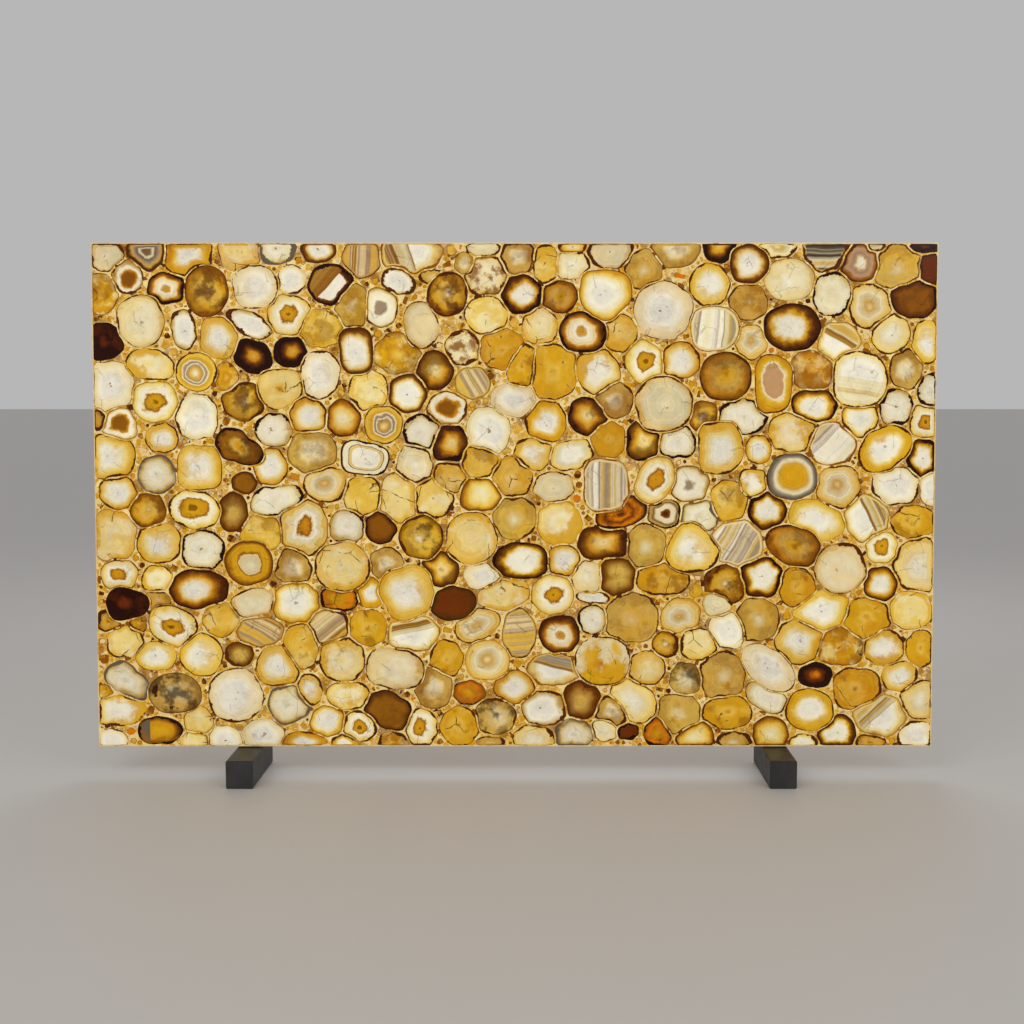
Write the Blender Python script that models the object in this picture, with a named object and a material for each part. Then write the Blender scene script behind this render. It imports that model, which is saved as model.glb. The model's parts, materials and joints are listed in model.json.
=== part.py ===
"""Polished composite slab: agate slices and chips set in amber resin, standing on a black steel stand."""
import math
import random

import bmesh
import bpy

MM = 0.001

# The slab, sawn square and polished on both faces.
SLAB_WIDE = 3.0
SLAB_HIGH = 1.8
SLAB_THICK = 0.02
SLAB_LEAN = math.radians(2.3)
SLAB_Y = 0.015

# Touching pieces keep a hairline between them.
GAP = 0.0003
POCKET_GAP = 0.00035

# An agate slice is drawn with this many points, and this much resin stays between two slices.
SLICE_POINTS = 20
RESIN_WEB = 0.005
LOBE_SIZE = 0.022
PRESS_STEP = 0.0005

# The stand: two feet, two posts behind the slab, two rails between the posts, and rubber where stone meets steel.
FOOT_WIDE = 0.095
FOOT_HIGH = 0.100
FOOT_LONG = 0.330
FOOT_X = {"left": -0.9555, "right": 0.936}
POST_SIDE = 0.060
POST_TOP = 1.72
RAIL_SIDE = 0.040
RAIL_HEIGHTS = {"low": 0.42, "high": 1.50}
STEEL_WALL = 0.003
STEEL_CORNER = 0.006
PAD_THICK = 0.003
PAD_LONG = 0.024
STRIP_WIDE = 0.050
STRIP_LOW = 0.15
STRIP_HIGH = 1.55

SLAB_Z = FOOT_HIGH + PAD_THICK + 2 * GAP + SLAB_THICK / 2 * math.sin(SLAB_LEAN)

# Each agate kind: base colour, roughness.
AGATE_KINDS = {
    "white_heart": ((0.78, 0.76, 0.70), 0.18),
    "ivory": ((0.76, 0.69, 0.52), 0.18),
    "greige": ((0.64, 0.59, 0.47), 0.18),
    "butter": ((0.80, 0.68, 0.36), 0.18),
    "gold": ((0.72, 0.45, 0.10), 0.18),
    "tan_disc": ((0.62, 0.50, 0.33), 0.18),
    "honey_white": ((0.78, 0.62, 0.32), 0.18),
    "amber_white": ((0.75, 0.56, 0.28), 0.18),
    "brown_white": ((0.60, 0.50, 0.38), 0.18),
    "dark_white": ((0.40, 0.34, 0.28), 0.18),
    "dark_honey": ((0.36, 0.22, 0.08), 0.18),
    "amber_core": ((0.74, 0.62, 0.42), 0.18),
    "dark_core": ((0.45, 0.36, 0.26), 0.18),
    "amber_banded": ((0.70, 0.50, 0.24), 0.18),
    "envelope": ((0.66, 0.58, 0.48), 0.18),
    "grey_white": ((0.55, 0.53, 0.49), 0.18),
    "grey_amber": ((0.60, 0.46, 0.26), 0.18),
    "striped_grey": ((0.55, 0.52, 0.46), 0.18),
    "striped_pale": ((0.76, 0.70, 0.52), 0.18),
    "black": ((0.05, 0.015, 0.01), 0.15),
    "mahogany": ((0.13, 0.03, 0.01), 0.15),
    "brown": ((0.36, 0.20, 0.06), 0.16),
    "brown_mottle": ((0.42, 0.26, 0.10), 0.18),
    "smoky": ((0.30, 0.26, 0.18), 0.18),
    "mauve": ((0.48, 0.30, 0.19), 0.18),
}

# Slices in millimetres from the slab's lower left corner:
# name, kind, across, up, half width, half height, tilt in degrees, form.
SLICES = (
    ("slice_ivory_corner", "ivory", 173, 1525, 85, 94, 10, "round"),
    ("slice_mottled_corner", "brown_mottle", 408, 1630, 78, 92, 0, "round"),
    ("slice_white_top", "white_heart", 580, 1645, 82, 78, 0, "round"),
    ("slice_amber_banded_left", "amber_banded", 368, 1345, 74, 69, 0, "round"),
    ("slice_butter_left", "butter", 663, 1288, 84, 72, 15, "heart"),
    ("slice_white_leaning", "white_heart", 808, 1335, 72, 88, -8, "round"),
    ("slice_brown_rimmed", "brown_white", 937, 1421, 61, 84, 5, "block"),
    ("slice_greige_top", "greige", 1168, 1510, 62, 86, 10, "round"),
    ("slice_mottled_top", "brown_mottle", 1262, 1618, 72, 80, -15, "round"),
    ("slice_dark_core", "dark_core", 1735, 1485, 84, 76, -10, "egg"),
    ("slice_brown_rimmed_top", "brown_white", 1818, 1620, 93, 92, 20, "heart"),
    ("slice_white_scalloped", "white_heart", 2028, 1562, 106, 103, 0, "round"),
    ("slice_greige_middle", "greige", 2030, 1230, 104, 100, 0, "round"),
    ("slice_striped_upright", "striped_grey", 2208, 1498, 86, 79, 0, "block"),
    ("slice_brown_right", "brown", 2250, 1328, 94, 88, 0, "round"),
    ("slice_brown_rimmed_right", "brown_white", 2325, 1725, 69, 73, 0, "egg"),
    ("slice_dark_rimmed_right", "dark_white", 2485, 1502, 103, 85, 0, "round"),
    ("slice_striped_pale", "striped_pale", 2727, 1318, 96, 97, 0, "block"),
    ("slice_mauve", "mauve", 2420, 1303, 67, 104, 0, "block"),
    ("slice_amber_banded_middle", "amber_banded", 1032, 1158, 70, 68, 0, "round"),
    ("slice_honey_block", "honey_white", 375, 1003, 81, 82, 0, "block"),
    ("slice_dark_bean", "dark_honey", 512, 1078, 86, 58, -28, "bean"),
    ("slice_grey_left", "grey_white", 223, 980, 69, 70, 0, "round"),
    ("slice_envelope", "envelope", 962, 1038, 88, 60, -9, "block"),
    ("slice_amber_core_left", "amber_core", 355, 855, 93, 70, -10, "round"),
    ("slice_honey_lens", "honey_white", 548, 663, 88, 80, 0, "round"),
    ("slice_butter_middle", "butter", 1345, 752, 93, 95, 0, "round"),
    ("slice_dark_blotches", "brown_mottle", 1165, 755, 80, 79, 0, "round"),
    ("slice_butter_large", "butter", 882, 650, 101, 89, 0, "round"),
    ("slice_striped_block", "striped_grey", 1825, 942, 82, 96, 0, "block"),
    ("slice_amber_core_leaning", "amber_core", 2000, 960, 66, 90, -28, "round"),
    ("slice_honey_tall", "honey_white", 2232, 1075, 80, 94, 0, "block"),
    ("slice_grey_amber", "grey_amber", 2490, 972, 92, 84, 0, "round"),
    ("slice_amber_leaning", "amber_white", 2818, 1072, 104, 74, 33, "round"),
    ("slice_honey_crystal", "honey_white", 2130, 712, 91, 90, -20, "heart"),
    ("slice_tan_disc", "tan_disc", 2665, 645, 95, 92, 0, "round"),
    ("slice_brown_leaning", "brown", 2498, 725, 104, 70, -20, "round"),
    ("slice_honey_wide", "honey_white", 1115, 557, 95, 94, 20, "block"),
    ("slice_white_biggest", "white_heart", 495, 185, 100, 99, 0, "round"),
    ("slice_smoky", "smoky", 277, 193, 97, 74, 0, "round"),
    ("slice_amber_core_low", "amber_core", 273, 438, 93, 70, -22, "round"),
    ("slice_honey_round", "honey_white", 374, 332, 78, 78, 0, "round"),
    ("slice_black_left", "black", 104, 516, 77, 60, 0, "heart"),
    ("slice_pale_large", "ivory", 1068, 282, 104, 72, -8, "block"),
    ("slice_mahogany", "mahogany", 1278, 518, 84, 62, 8, "round"),
    ("slice_cream_core", "amber_core", 1400, 312, 81, 73, 0, "round"),
    ("slice_gold_large", "gold", 1815, 310, 101, 90, 0, "round"),
    ("slice_white_long", "white_heart", 2412, 285, 112, 66, -38, "round"),
    ("slice_amber_low", "amber_white", 2560, 133, 88, 77, 0, "round"),
)

# How a form bends a plain oval: squareness, then a swelling once, twice and three times round.
FORMS = {
    "round": (2.1, 0.00, 0.00, 0.00),
    "block": (3.0, 0.00, 0.00, 0.02),
    "egg": (2.0, 0.07, 0.03, 0.03),
    "heart": (2.1, 0.03, 0.02, 0.08),
    "bean": (2.3, 0.00, 0.05, 0.07),
}


def clear_scene():
    for obj in list(bpy.data.objects):
        bpy.data.objects.remove(obj, do_unlink=True)


def plain_material(name, colour, roughness, metallic=0.0):
    mat = bpy.data.materials.new(name)
    mat.use_nodes = True
    shader = mat.node_tree.nodes["Principled BSDF"]
    shader.inputs["Base Color"].default_value = (*colour, 1.0)
    shader.inputs["Roughness"].default_value = roughness
    shader.inputs["Metallic"].default_value = metallic
    return mat


def add_object(name, data, mat, parent=None, place=(0.0, 0.0, 0.0)):
    obj = bpy.data.objects.new(name, data)
    data.materials.append(mat)
    bpy.context.collection.objects.link(obj)
    obj.parent = parent
    obj.location = place
    return obj


def slab_frame():
    """The slab's own axes: X across, Y up the face, Z out of the front, from the lower left corner."""
    frame = bpy.data.objects.new("slab_frame", None)
    bpy.context.collection.objects.link(frame)
    frame.location = (-SLAB_WIDE / 2, SLAB_Y, SLAB_Z)
    frame.rotation_euler = (math.pi / 2 - SLAB_LEAN, 0.0, 0.0)
    return frame


class Slice:
    """One agate slice, by its place on the slab and the radius of its outline at any angle."""

    def __init__(self, name, kind, across, up, half_wide, half_high, tilt, form):
        self.name = name
        self.kind = kind
        self.centre = (across * MM, up * MM)
        self.halves = (half_wide * MM, half_high * MM)
        self.tilt = math.radians(tilt)
        self.form = FORMS[form]
        draw = random.Random(name)
        self.lobes = [(k, LOBE_SIZE * draw.uniform(0.3, 1.0), draw.uniform(0, math.tau)) for k in (3, 4, 5, 7)]

    def radius(self, angle):
        square, once, twice, thrice = self.form
        turned = angle - self.tilt
        wide = abs(math.cos(turned) / self.halves[0]) ** square
        high = abs(math.sin(turned) / self.halves[1]) ** square
        bend = 1 + once * math.cos(turned) + twice * math.cos(2 * turned) + thrice * math.cos(3 * turned)
        lobe = sum(size * math.cos(k * turned + phase) for k, size, phase in self.lobes)
        return (wide + high) ** (-1 / square) * (bend + lobe)

    def share(self, across, up):
        """How far out a point is, as a share of the radius there: below 1 is inside the slice."""
        dx = across - self.centre[0]
        dy = up - self.centre[1]
        return math.hypot(dx, dy) / self.radius(math.atan2(dy, dx))


def pressed_outline(piece, others):
    """The slice's outline about its centre, flattened where a neighbour presses on it."""
    near = [o for o in others if o is not piece and math.dist(o.centre, piece.centre) < 0.3]
    outline = []
    for i in range(SLICE_POINTS):
        angle = math.tau * i / SLICE_POINTS
        full = piece.radius(angle)
        reach = full
        for other in near:
            while True:
                across = piece.centre[0] + (reach + RESIN_WEB / 2) * math.cos(angle)
                up = piece.centre[1] + (reach + RESIN_WEB / 2) * math.sin(angle)
                if (reach + RESIN_WEB) / full <= other.share(across, up) + RESIN_WEB / full or reach < full / 3:
                    break
                reach -= PRESS_STEP
        outline.append((reach * math.cos(angle), reach * math.sin(angle)))
    return outline


def grown(outline, margin):
    """The outline with each point moved outward from the centre by the margin."""
    out = []
    for x, y in outline:
        scale = 1 + margin / math.hypot(x, y)
        out.append((x * scale, y * scale))
    return out


def plate_curve(name, outlines):
    """A flat plate of the slab's thickness: the first outline is its edge, and the rest are holes in it."""
    curve = bpy.data.curves.new(name, "CURVE")
    curve.dimensions = "2D"
    curve.fill_mode = "BOTH"
    curve.extrude = SLAB_THICK / 2
    for outline in outlines:
        spline = curve.splines.new("POLY")
        spline.points.add(len(outline) - 1)
        for point, (x, y) in zip(spline.points, outline):
            point.co = (x, y, 0.0, 1.0)
        spline.use_cyclic_u = True
    return curve


def add_slab(frame):
    pieces = [Slice(*row) for row in SLICES]
    mats = {k: plain_material(f"agate_{k}", colour, rough) for k, (colour, rough) in AGATE_KINDS.items()}
    pockets = [[(0.0, 0.0), (SLAB_WIDE, 0.0), (SLAB_WIDE, SLAB_HIGH), (0.0, SLAB_HIGH)]]
    for piece in pieces:
        outline = pressed_outline(piece, pieces)
        place = (*piece.centre, 0.0)
        add_object(piece.name, plate_curve(piece.name, [outline]), mats[piece.kind], frame, place)
        pockets.append([(x + place[0], y + place[1]) for x, y in grown(outline, POCKET_GAP)])
    resin = plain_material("amber_resin", (0.72, 0.48, 0.20), 0.2)
    add_object("resin_matrix", plate_curve("resin_matrix", pockets), resin, frame)


def box_mesh(name, size, corner=0.0, hollow_end=None):
    """A box about its own middle; its long edges (the greatest size) are rounded by the corner radius.

    With hollow_end +1 or -1 it is a tube, closed at the other end of its length.
    """
    long_axis = max(range(3), key=lambda i: size[i])
    bm = bmesh.new()
    bmesh.ops.create_cube(bm, size=1.0)
    bmesh.ops.scale(bm, vec=size, verts=bm.verts)
    if corner:
        long_edges = [e for e in bm.edges if abs((e.verts[0].co - e.verts[1].co)[long_axis]) > size[long_axis] / 2]
        bmesh.ops.bevel(bm, geom=long_edges, offset=corner, segments=3, profile=0.5, affect="EDGES")
    if hollow_end:
        bm.faces.ensure_lookup_table()
        end = max(bm.faces, key=lambda f: hollow_end * f.normal[long_axis])
        bmesh.ops.inset_region(bm, faces=[end], thickness=STEEL_WALL, use_even_offset=True)
        inner = bmesh.ops.extrude_face_region(bm, geom=[end])
        bmesh.ops.delete(bm, geom=[end], context="FACES_ONLY")
        depth = [0.0, 0.0, 0.0]
        depth[long_axis] = -hollow_end * (size[long_axis] - STEEL_WALL)
        bmesh.ops.translate(bm, vec=depth, verts=[v for v in inner["geom"] if isinstance(v, bmesh.types.BMVert)])
    mesh = bpy.data.meshes.new(name)
    bm.to_mesh(mesh)
    bm.free()
    return mesh


def slab_back(height):
    """Where the slab's back face is, front to back, at a height above the floor."""
    return SLAB_Y + SLAB_THICK / 2 / math.cos(SLAB_LEAN) + (height - SLAB_Z) * math.tan(SLAB_LEAN)


def lean_mesh(mesh):
    """Slides a standing mesh back with height, so that it runs beside the slab."""
    for vertex in mesh.vertices:
        vertex.co.y += vertex.co.z * math.tan(SLAB_LEAN)
    return mesh


def post_middle(height):
    return slab_back(height) + PAD_THICK + 2 * GAP + POST_SIDE / 2


def add_foot(side, steel, rubber):
    x = FOOT_X[side]
    foot = box_mesh(f"foot_{side}", (FOOT_WIDE, FOOT_LONG, FOOT_HIGH), STEEL_CORNER)
    add_object(f"foot_{side}", foot, steel, place=(x, 0.0, FOOT_HIGH / 2))
    pad = box_mesh(f"foot_pad_{side}", (FOOT_WIDE - 2 * STEEL_CORNER, PAD_LONG, PAD_THICK))
    add_object(f"foot_pad_{side}", pad, rubber, place=(x, SLAB_Y, FOOT_HIGH + GAP + PAD_THICK / 2))


def add_post(side, steel, rubber, frame):
    x = FOOT_X[side]
    bottom = FOOT_HIGH + GAP
    middle = (bottom + POST_TOP) / 2
    post = lean_mesh(box_mesh(f"post_{side}", (POST_SIDE, POST_SIDE, POST_TOP - bottom), STEEL_CORNER, hollow_end=-1))
    add_object(f"post_{side}", post, steel, place=(x, post_middle(middle), middle))
    strip = box_mesh(f"back_strip_{side}", (STRIP_WIDE, STRIP_HIGH - STRIP_LOW, PAD_THICK))
    place = (x + SLAB_WIDE / 2, (STRIP_LOW + STRIP_HIGH) / 2, -(SLAB_THICK + PAD_THICK) / 2 - GAP)
    add_object(f"back_strip_{side}", strip, rubber, frame, place)


def add_rail(level, height, steel):
    """A rail between the posts, as a tube shut at one end; its ends stop a hairline short of the posts."""
    left = FOOT_X["left"] + POST_SIDE / 2 + GAP
    right = FOOT_X["right"] - POST_SIDE / 2 - GAP
    rail = box_mesh(f"rail_{level}", (right - left, RAIL_SIDE, RAIL_SIDE), STEEL_CORNER, hollow_end=1)
    add_object(f"rail_{level}", rail, steel, place=((left + right) / 2, post_middle(height), height))


def main():
    clear_scene()
    frame = slab_frame()
    steel = plain_material("black_steel", (0.035, 0.033, 0.032), 0.5)
    rubber = plain_material("black_rubber", (0.02, 0.02, 0.02), 0.8)
    add_slab(frame)
    for side in FOOT_X:
        add_foot(side, steel, rubber)
        add_post(side, steel, rubber, frame)
    for level, height in RAIL_HEIGHTS.items():
        add_rail(level, height, steel)


main()
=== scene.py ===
"""Dresses the agate slab: every slice, the resin with its chips, the steel stand and a plain studio."""
import functools
import json
import math
import random

import bpy
import numpy as np
from mathutils import Matrix, Vector

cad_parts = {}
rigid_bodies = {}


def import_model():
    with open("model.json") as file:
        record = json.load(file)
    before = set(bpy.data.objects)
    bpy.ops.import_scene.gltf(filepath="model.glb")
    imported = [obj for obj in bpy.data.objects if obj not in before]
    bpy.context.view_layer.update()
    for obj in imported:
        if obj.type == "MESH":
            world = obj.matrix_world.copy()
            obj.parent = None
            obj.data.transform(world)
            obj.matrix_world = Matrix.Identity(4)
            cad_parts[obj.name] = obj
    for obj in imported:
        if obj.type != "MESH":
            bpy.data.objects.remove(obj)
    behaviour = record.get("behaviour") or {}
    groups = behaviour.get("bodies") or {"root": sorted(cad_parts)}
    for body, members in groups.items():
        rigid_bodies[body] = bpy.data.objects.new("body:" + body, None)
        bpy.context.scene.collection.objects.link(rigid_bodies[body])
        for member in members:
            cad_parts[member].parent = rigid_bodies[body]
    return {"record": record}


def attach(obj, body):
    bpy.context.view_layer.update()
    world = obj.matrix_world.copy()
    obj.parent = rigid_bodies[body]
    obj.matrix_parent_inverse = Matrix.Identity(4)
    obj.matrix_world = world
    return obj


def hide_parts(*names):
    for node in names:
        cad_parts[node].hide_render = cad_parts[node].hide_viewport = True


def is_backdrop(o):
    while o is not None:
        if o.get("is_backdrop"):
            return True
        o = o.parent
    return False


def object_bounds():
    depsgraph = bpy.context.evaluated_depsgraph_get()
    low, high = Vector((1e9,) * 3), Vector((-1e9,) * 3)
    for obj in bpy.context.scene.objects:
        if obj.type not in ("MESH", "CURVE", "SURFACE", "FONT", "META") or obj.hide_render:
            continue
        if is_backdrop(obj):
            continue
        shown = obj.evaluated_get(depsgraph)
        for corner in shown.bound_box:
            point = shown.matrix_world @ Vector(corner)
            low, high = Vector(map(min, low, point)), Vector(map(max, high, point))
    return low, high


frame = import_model()
CAD_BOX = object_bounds()

bl_info = {
    "name": "Agate Slab",
    "version": (1, 0, 0),
    "blender": (4, 5, 0),
    "location": "View3D > Sidebar > Agate Slab",
    "description": "Agate slices set in amber resin, on a black steel stand",
    "category": "Object",
}

MM = 0.001
BODY = "root"
PLATE_NODE = "resin_matrix"
SLICE_PREFIX = "slice_"
THICK = 0.020
HAIRLINE = 0.0002
SLAB_SHINE = 0.12

# How finely outlines are drawn: a large slice, a smaller one, a filler.
LARGE_POINTS = 60
SMALL_POINTS = 40
FILL_POINTS = 24

# Small slices, in millimetres from the slab's lower left corner:
# across, up, half width, half height, and, where it needs them, tilt in degrees and form.
SMALL_SLICES = {
    "white_heart": (
        (55, 1295, 85, 88), (368, 1185, 73, 78), (1495, 1245, 78, 58), (1405, 1135, 76, 84),
        (1383, 615, 62, 46), (2860, 940, 84, 66), (2985, 930, 40, 60), (2265, 420, 70, 62),
        (455, 20, 60, 52), (45, 15, 58, 46), (2945, 35, 66, 56), (1780, 540, 60, 20, -5, "block"),
        (710, 1670, 48, 50), (593, 40, 72, 56),
    ),
    "white_black": (
        (2980, 1275, 45, 60), (642, 1138, 64, 58), (898, 792, 61, 60), (1168, 1130, 65, 62),
        (2080, 1098, 62, 63, 90, "heart"), (383, 710, 77, 67), (2405, 180, 78, 48, -30),
        (1778, 460, 51, 50), (2310, 1185, 85, 62), (2857, 1220, 58, 65), (645, 888, 88, 50, 12, "bean"),
    ),
    "white_brown": (
        (565, 1510, 80, 43, 155, "egg"), (325, 1495, 42, 70, 8), (1085, 1668, 58, 48, -25, "heart"),
        (1600, 138, 79, 65, 0, "egg"),
    ),
    "white_amber": (
        (1795, 1345, 74, 80, 30), (2825, 360, 70, 63), (2350, 950, 48, 48, 0, "block"), (70, 130, 95, 53),
    ),
    "thin_amber": (
        (2090, 1385, 65, 63), (628, 1008, 58, 64), (2370, 1070, 45, 50), (1675, 672, 58, 57),
        (1498, 215, 70, 58), (765, 1190, 63, 63), (83, 915, 64, 58), (825, 90, 60, 54),
        (2730, 1180, 63, 65), (715, 520, 82, 74),
    ),
    "ivory": (
        (2475, 1670, 86, 71), (1143, 1015, 72, 63, 90, "heart"), (560, 520, 80, 48, 12), (1825, 65, 45, 45),
        (1705, 1720, 60, 46, 0, "block"), (1760, 610, 55, 60),
    ),
    "ivory_dark": ((2625, 1620, 66, 76),),
    "ivory_amber": (
        (205, 1370, 85, 53, -10), (2488, 1130, 83, 68), (880, 315, 78, 80), (900, 185, 76, 50),
        (218, 605, 54, 48), (1660, 805, 76, 75),
    ),
    "soft_white": ((1703, 1050, 80, 50, 15),),
    "greige": (
        (1390, 1788, 60, 38), (50, 1755, 65, 55), (1840, 1770, 80, 60), (1640, 935, 69, 53),
        (2225, 520, 50, 50),
    ),
    "greige_core": (
        (1365, 440, 82, 53, 28), (2340, 1450, 55, 58), (825, 945, 76, 62), (2760, 1575, 72, 78, 20),
        (2655, 935, 76, 76), (2425, 1788, 70, 43), (2093, 475, 71, 58, 20),
    ),
    "grey_core": ((1023, 1573, 60, 67), (2123, 945, 68, 64)),
    "butter": (
        (1205, 895, 72, 70), (345, 14, 50, 42), (530, 1770, 75, 70), (1400, 1545, 73, 66),
        (1590, 1505, 62, 61), (1085, 895, 70, 86), (2920, 495, 74, 68), (55, 760, 90, 88),
        (100, 380, 63, 53, 0, "block"), (980, 1280, 68, 69), (1460, 550, 90, 55, 10), (2160, 370, 66, 56),
        (1973, 285, 66, 60), (360, 93, 50, 50),
    ),
    "butter_white": (
        (2955, 655, 96, 95), (1570, 20, 75, 58), (2960, 170, 68, 68), (1925, 165, 90, 66, -35),
        (2835, 1480, 66, 71),
    ),
    "honey": (
        (1490, 970, 70, 70), (1610, 1725, 46, 66), (2265, 885, 65, 72), (1373, 1028, 63, 58, 0, "block"),
        (1265, 970, 59, 58), (595, 770, 74, 62), (445, 460, 62, 59), (1875, 1480, 58, 65),
        (958, 905, 69, 65), (815, 1500, 80, 65), (730, 365, 60, 85),
    ),
    "gold": (
        (2927, 810, 78, 57), (1635, 1345, 85, 95), (1455, 1425, 78, 70), (1833, 1103, 62, 63),
        (973, 430, 66, 63), (1253, 318, 57, 66), (1300, 73, 66, 68), (2030, 605, 95, 55),
        (1525, 1365, 55, 80), (2758, 463, 86, 73), (2265, 125, 85, 60), (2510, 575, 63, 70),
        (2730, 210, 82, 70, 0, "block"), (2960, 355, 56, 63),
    ),
    "amber": (
        (30, 1620, 60, 70), (475, 1325, 40, 50), (1085, 1410, 80, 70), (2555, 1350, 75, 68, -20),
        (1060, 14, 52, 40), (2670, 360, 68, 80, 90, "heart"), (150, 445, 32, 30), (23, 200, 30, 26),
    ),
    "orange": ((868, 535, 68, 44, -5), (1335, 195, 56, 42), (2015, 48, 48, 54)),
    "tan": (
        (2860, 1715, 85, 75, 0, "block"), (220, 530, 45, 35), (2370, 460, 75, 76),
        (2090, 115, 72, 72, 0, "block"), (1410, 14, 50, 22), (2290, 12, 65, 40), (1210, 1680, 48, 26),
        (925, 1575, 60, 80), (2245, 258, 80, 84), (1955, 1705, 65, 70), (1970, 725, 68, 77),
        (1500, 825, 74, 74), (2328, 1590, 67, 61), (1920, 465, 94, 86),
    ),
    "dark_tan": ((493, 845, 52, 68), (510, 335, 50, 43), (1865, 615, 66, 68), (1740, 170, 66, 70)),
    "tan_white": (
        (1325, 1725, 36, 40), (2070, 1780, 82, 65), (1208, 215, 66, 74), (708, 648, 64, 62, 90, "heart"),
        (1040, 660, 59, 57), (1850, 125, 60, 60), (1510, 1750, 60, 60), (1855, 1245, 65, 62),
        (778, 1060, 83, 74), (2890, 1355, 56, 70),
    ),
    "honey_white": (
        (55, 1045, 88, 80), (760, 205, 45, 56), (450, 1465, 63, 70, 0, "block"), (2190, 1650, 68, 75),
        (2965, 1450, 52, 74), (1565, 1053, 65, 57), (227, 735, 80, 70), (650, 290, 77, 73),
        (2578, 820, 98, 66, -20), (2605, 490, 102, 68, 5), (2520, 380, 82, 80, 20), (2883, 255, 63, 52, 10),
        (2540, 12, 50, 32), (243, 1110, 57, 50), (210, 327, 71, 50),
    ),
    "amber_white": (
        (345, 1765, 80, 80, 0, "block"), (1612, 1168, 70, 72), (885, 12, 45, 34), (740, 12, 80, 40),
        (985, 555, 46, 54),
    ),
    "orange_white": ((365, 570, 104, 68), (2565, 1225, 80, 58), (2810, 588, 60, 60)),
    "brown_white": ((1120, 1270, 65, 68, -30), (805, 1780, 60, 50)),
    "dark_white": (
        (2958, 1040, 58, 66), (1525, 1618, 70, 68), (1523, 670, 100, 64), (2380, 610, 78, 70),
        (2660, 50, 67, 66), (2400, 850, 66, 64),
    ),
    "dark_honey": (
        (1760, 1188, 68, 65), (1215, 1350, 64, 66), (1233, 640, 66, 60, -30),
        (1815, 735, 88, 56, 0, "block"), (1955, 1100, 59, 70), (1270, 1090, 66, 68),
    ),
    "amber_core": (
        (220, 1240, 78, 70), (700, 1545, 75, 70), (1960, 1380, 63, 74, 20),
        (2965, 1170, 56, 56, 0, "block"), (745, 790, 85, 95), (2813, 720, 54, 56), (83, 620, 63, 58),
        (940, 73, 61, 54), (1163, 68, 55, 67), (1635, 550, 72, 70),
    ),
    "dark_core": ((268, 1640, 68, 54), (1660, 408, 70, 67)),
    "violet_banded": ((195, 1775, 66, 70),),
    "grey_white": (
        (655, 1785, 70, 60), (105, 240, 82, 52, -35, "bean"), (680, 155, 70, 72, 0, "egg"),
        (1710, 43, 68, 56), (2160, 830, 66, 57),
    ),
    "striped_grey": ((2630, 1088, 82, 74, 45), (2295, 735, 90, 80, 60)),
    "striped_tan": (
        (585, 415, 83, 50, -30), (960, 1750, 65, 70, 85), (830, 435, 72, 60, 38), (2780, 1786, 35, 22, 5),
        (1515, 410, 58, 85, 5), (1350, 1305, 60, 54, -60),
    ),
    "split_white": (
        (1135, 410, 90, 63, 12), (1640, 280, 93, 56, -15), (2650, 1450, 73, 68, -30),
        (1130, 1780, 110, 85, 110), (2758, 825, 75, 80, -65), (2815, 110, 90, 75, 42),
    ),
    "split_dark": ((850, 1653, 78, 70, 50),),
    "split_slate": ((220, 58, 79, 48, 90),),
    "black": ((35, 1450, 72, 66), (2955, 1788, 65, 30)),
    "black_glow": ((2580, 260, 59, 46),),
    "mahogany": ((2975, 1710, 50, 60), (1905, 55, 40, 30)),
    "umber_plain": (
        (535, 950, 44, 38), (1045, 130, 88, 63, -25), (1020, 790, 54, 56), (2915, 1605, 80, 70),
    ),
    "brown": ((40, 455, 45, 40), (2780, 12, 56, 34), (15, 1175, 28, 40), (1660, 1610, 62, 55)),
    "brown_mottle": (
        (535, 1240, 73, 65), (190, 850, 61, 62), (2255, 585, 75, 70), (2173, 1185, 53, 55),
        (2040, 370, 47, 47),
    ),
    "knotted": ((1395, 1685, 78, 68), (1315, 1430, 60, 60)),
    "smoky": ((1430, 110, 70, 64), (2115, 245, 56, 57)),
    "mauve_white": ((2725, 1725, 63, 74, 90, "egg"),),
    "black_amber": ((703, 1415, 58, 54), (570, 1400, 69, 56, -30), (2225, 1786, 58, 56)),
    "target": ((2035, 840, 60, 50),),
    "brown_core": ((128, 1683, 54, 60), (93, 1155, 58, 60, 90, "heart"), (1260, 1215, 68, 57)),
    "glow": (
        (1378, 908, 72, 56, 0, "block"), (1705, 1786, 50, 25), (890, 1180, 58, 63), (2420, 45, 62, 61),
        (2148, 35, 68, 55),
    ),
    "rust": ((1880, 840, 92, 49, 22, "block"),),
    "striped_dark": ((2603, 1780, 80, 80, 0),),
}

# The way the stripes run on the large striped slices, in degrees from level.
STRIPE_TILT = {"slice_striped_upright": 84, "slice_striped_block": 88, "slice_striped_pale": 172}

# Large slices that look unlike the others of their finish.
LARGE_LOOKS = {
    "slice_dark_bean": "dark_bean",
    "slice_butter_left": "butter_spots",
    "slice_honey_lens": "gold_greige",
    "slice_gold_large": "gold_patch",
    "slice_cream_core": "greige_core",
    "slice_brown_rimmed_top": "thin_amber",
}

# The seeded lobes of an outline, as a share of its radius, and how near two slices that touch can be.
LOBE_SIZE = 0.024
NEAR = 0.26

# An outline that lies on a neighbour is drawn in by this much at a time, down to a least radius, which is a
# share of the first one or a length. It stops after so many times.
DRAW_IN = 0.001
LEAST_SHARE = 0.15
LEAST_RADIUS = 0.004
PRESS_TIMES = 120
SETTLE_TIMES = 60

# How a form bends a plain oval: squareness, then a swelling once, twice and three times round.
FORMS = {
    "round": (2.1, 0.00, 0.00, 0.00),
    "block": (3.0, 0.00, 0.00, 0.02),
    "egg": (2.0, 0.07, 0.03, 0.03),
    "heart": (2.1, 0.03, 0.02, 0.08),
    "bean": (2.3, 0.00, 0.05, 0.07),
}

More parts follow.
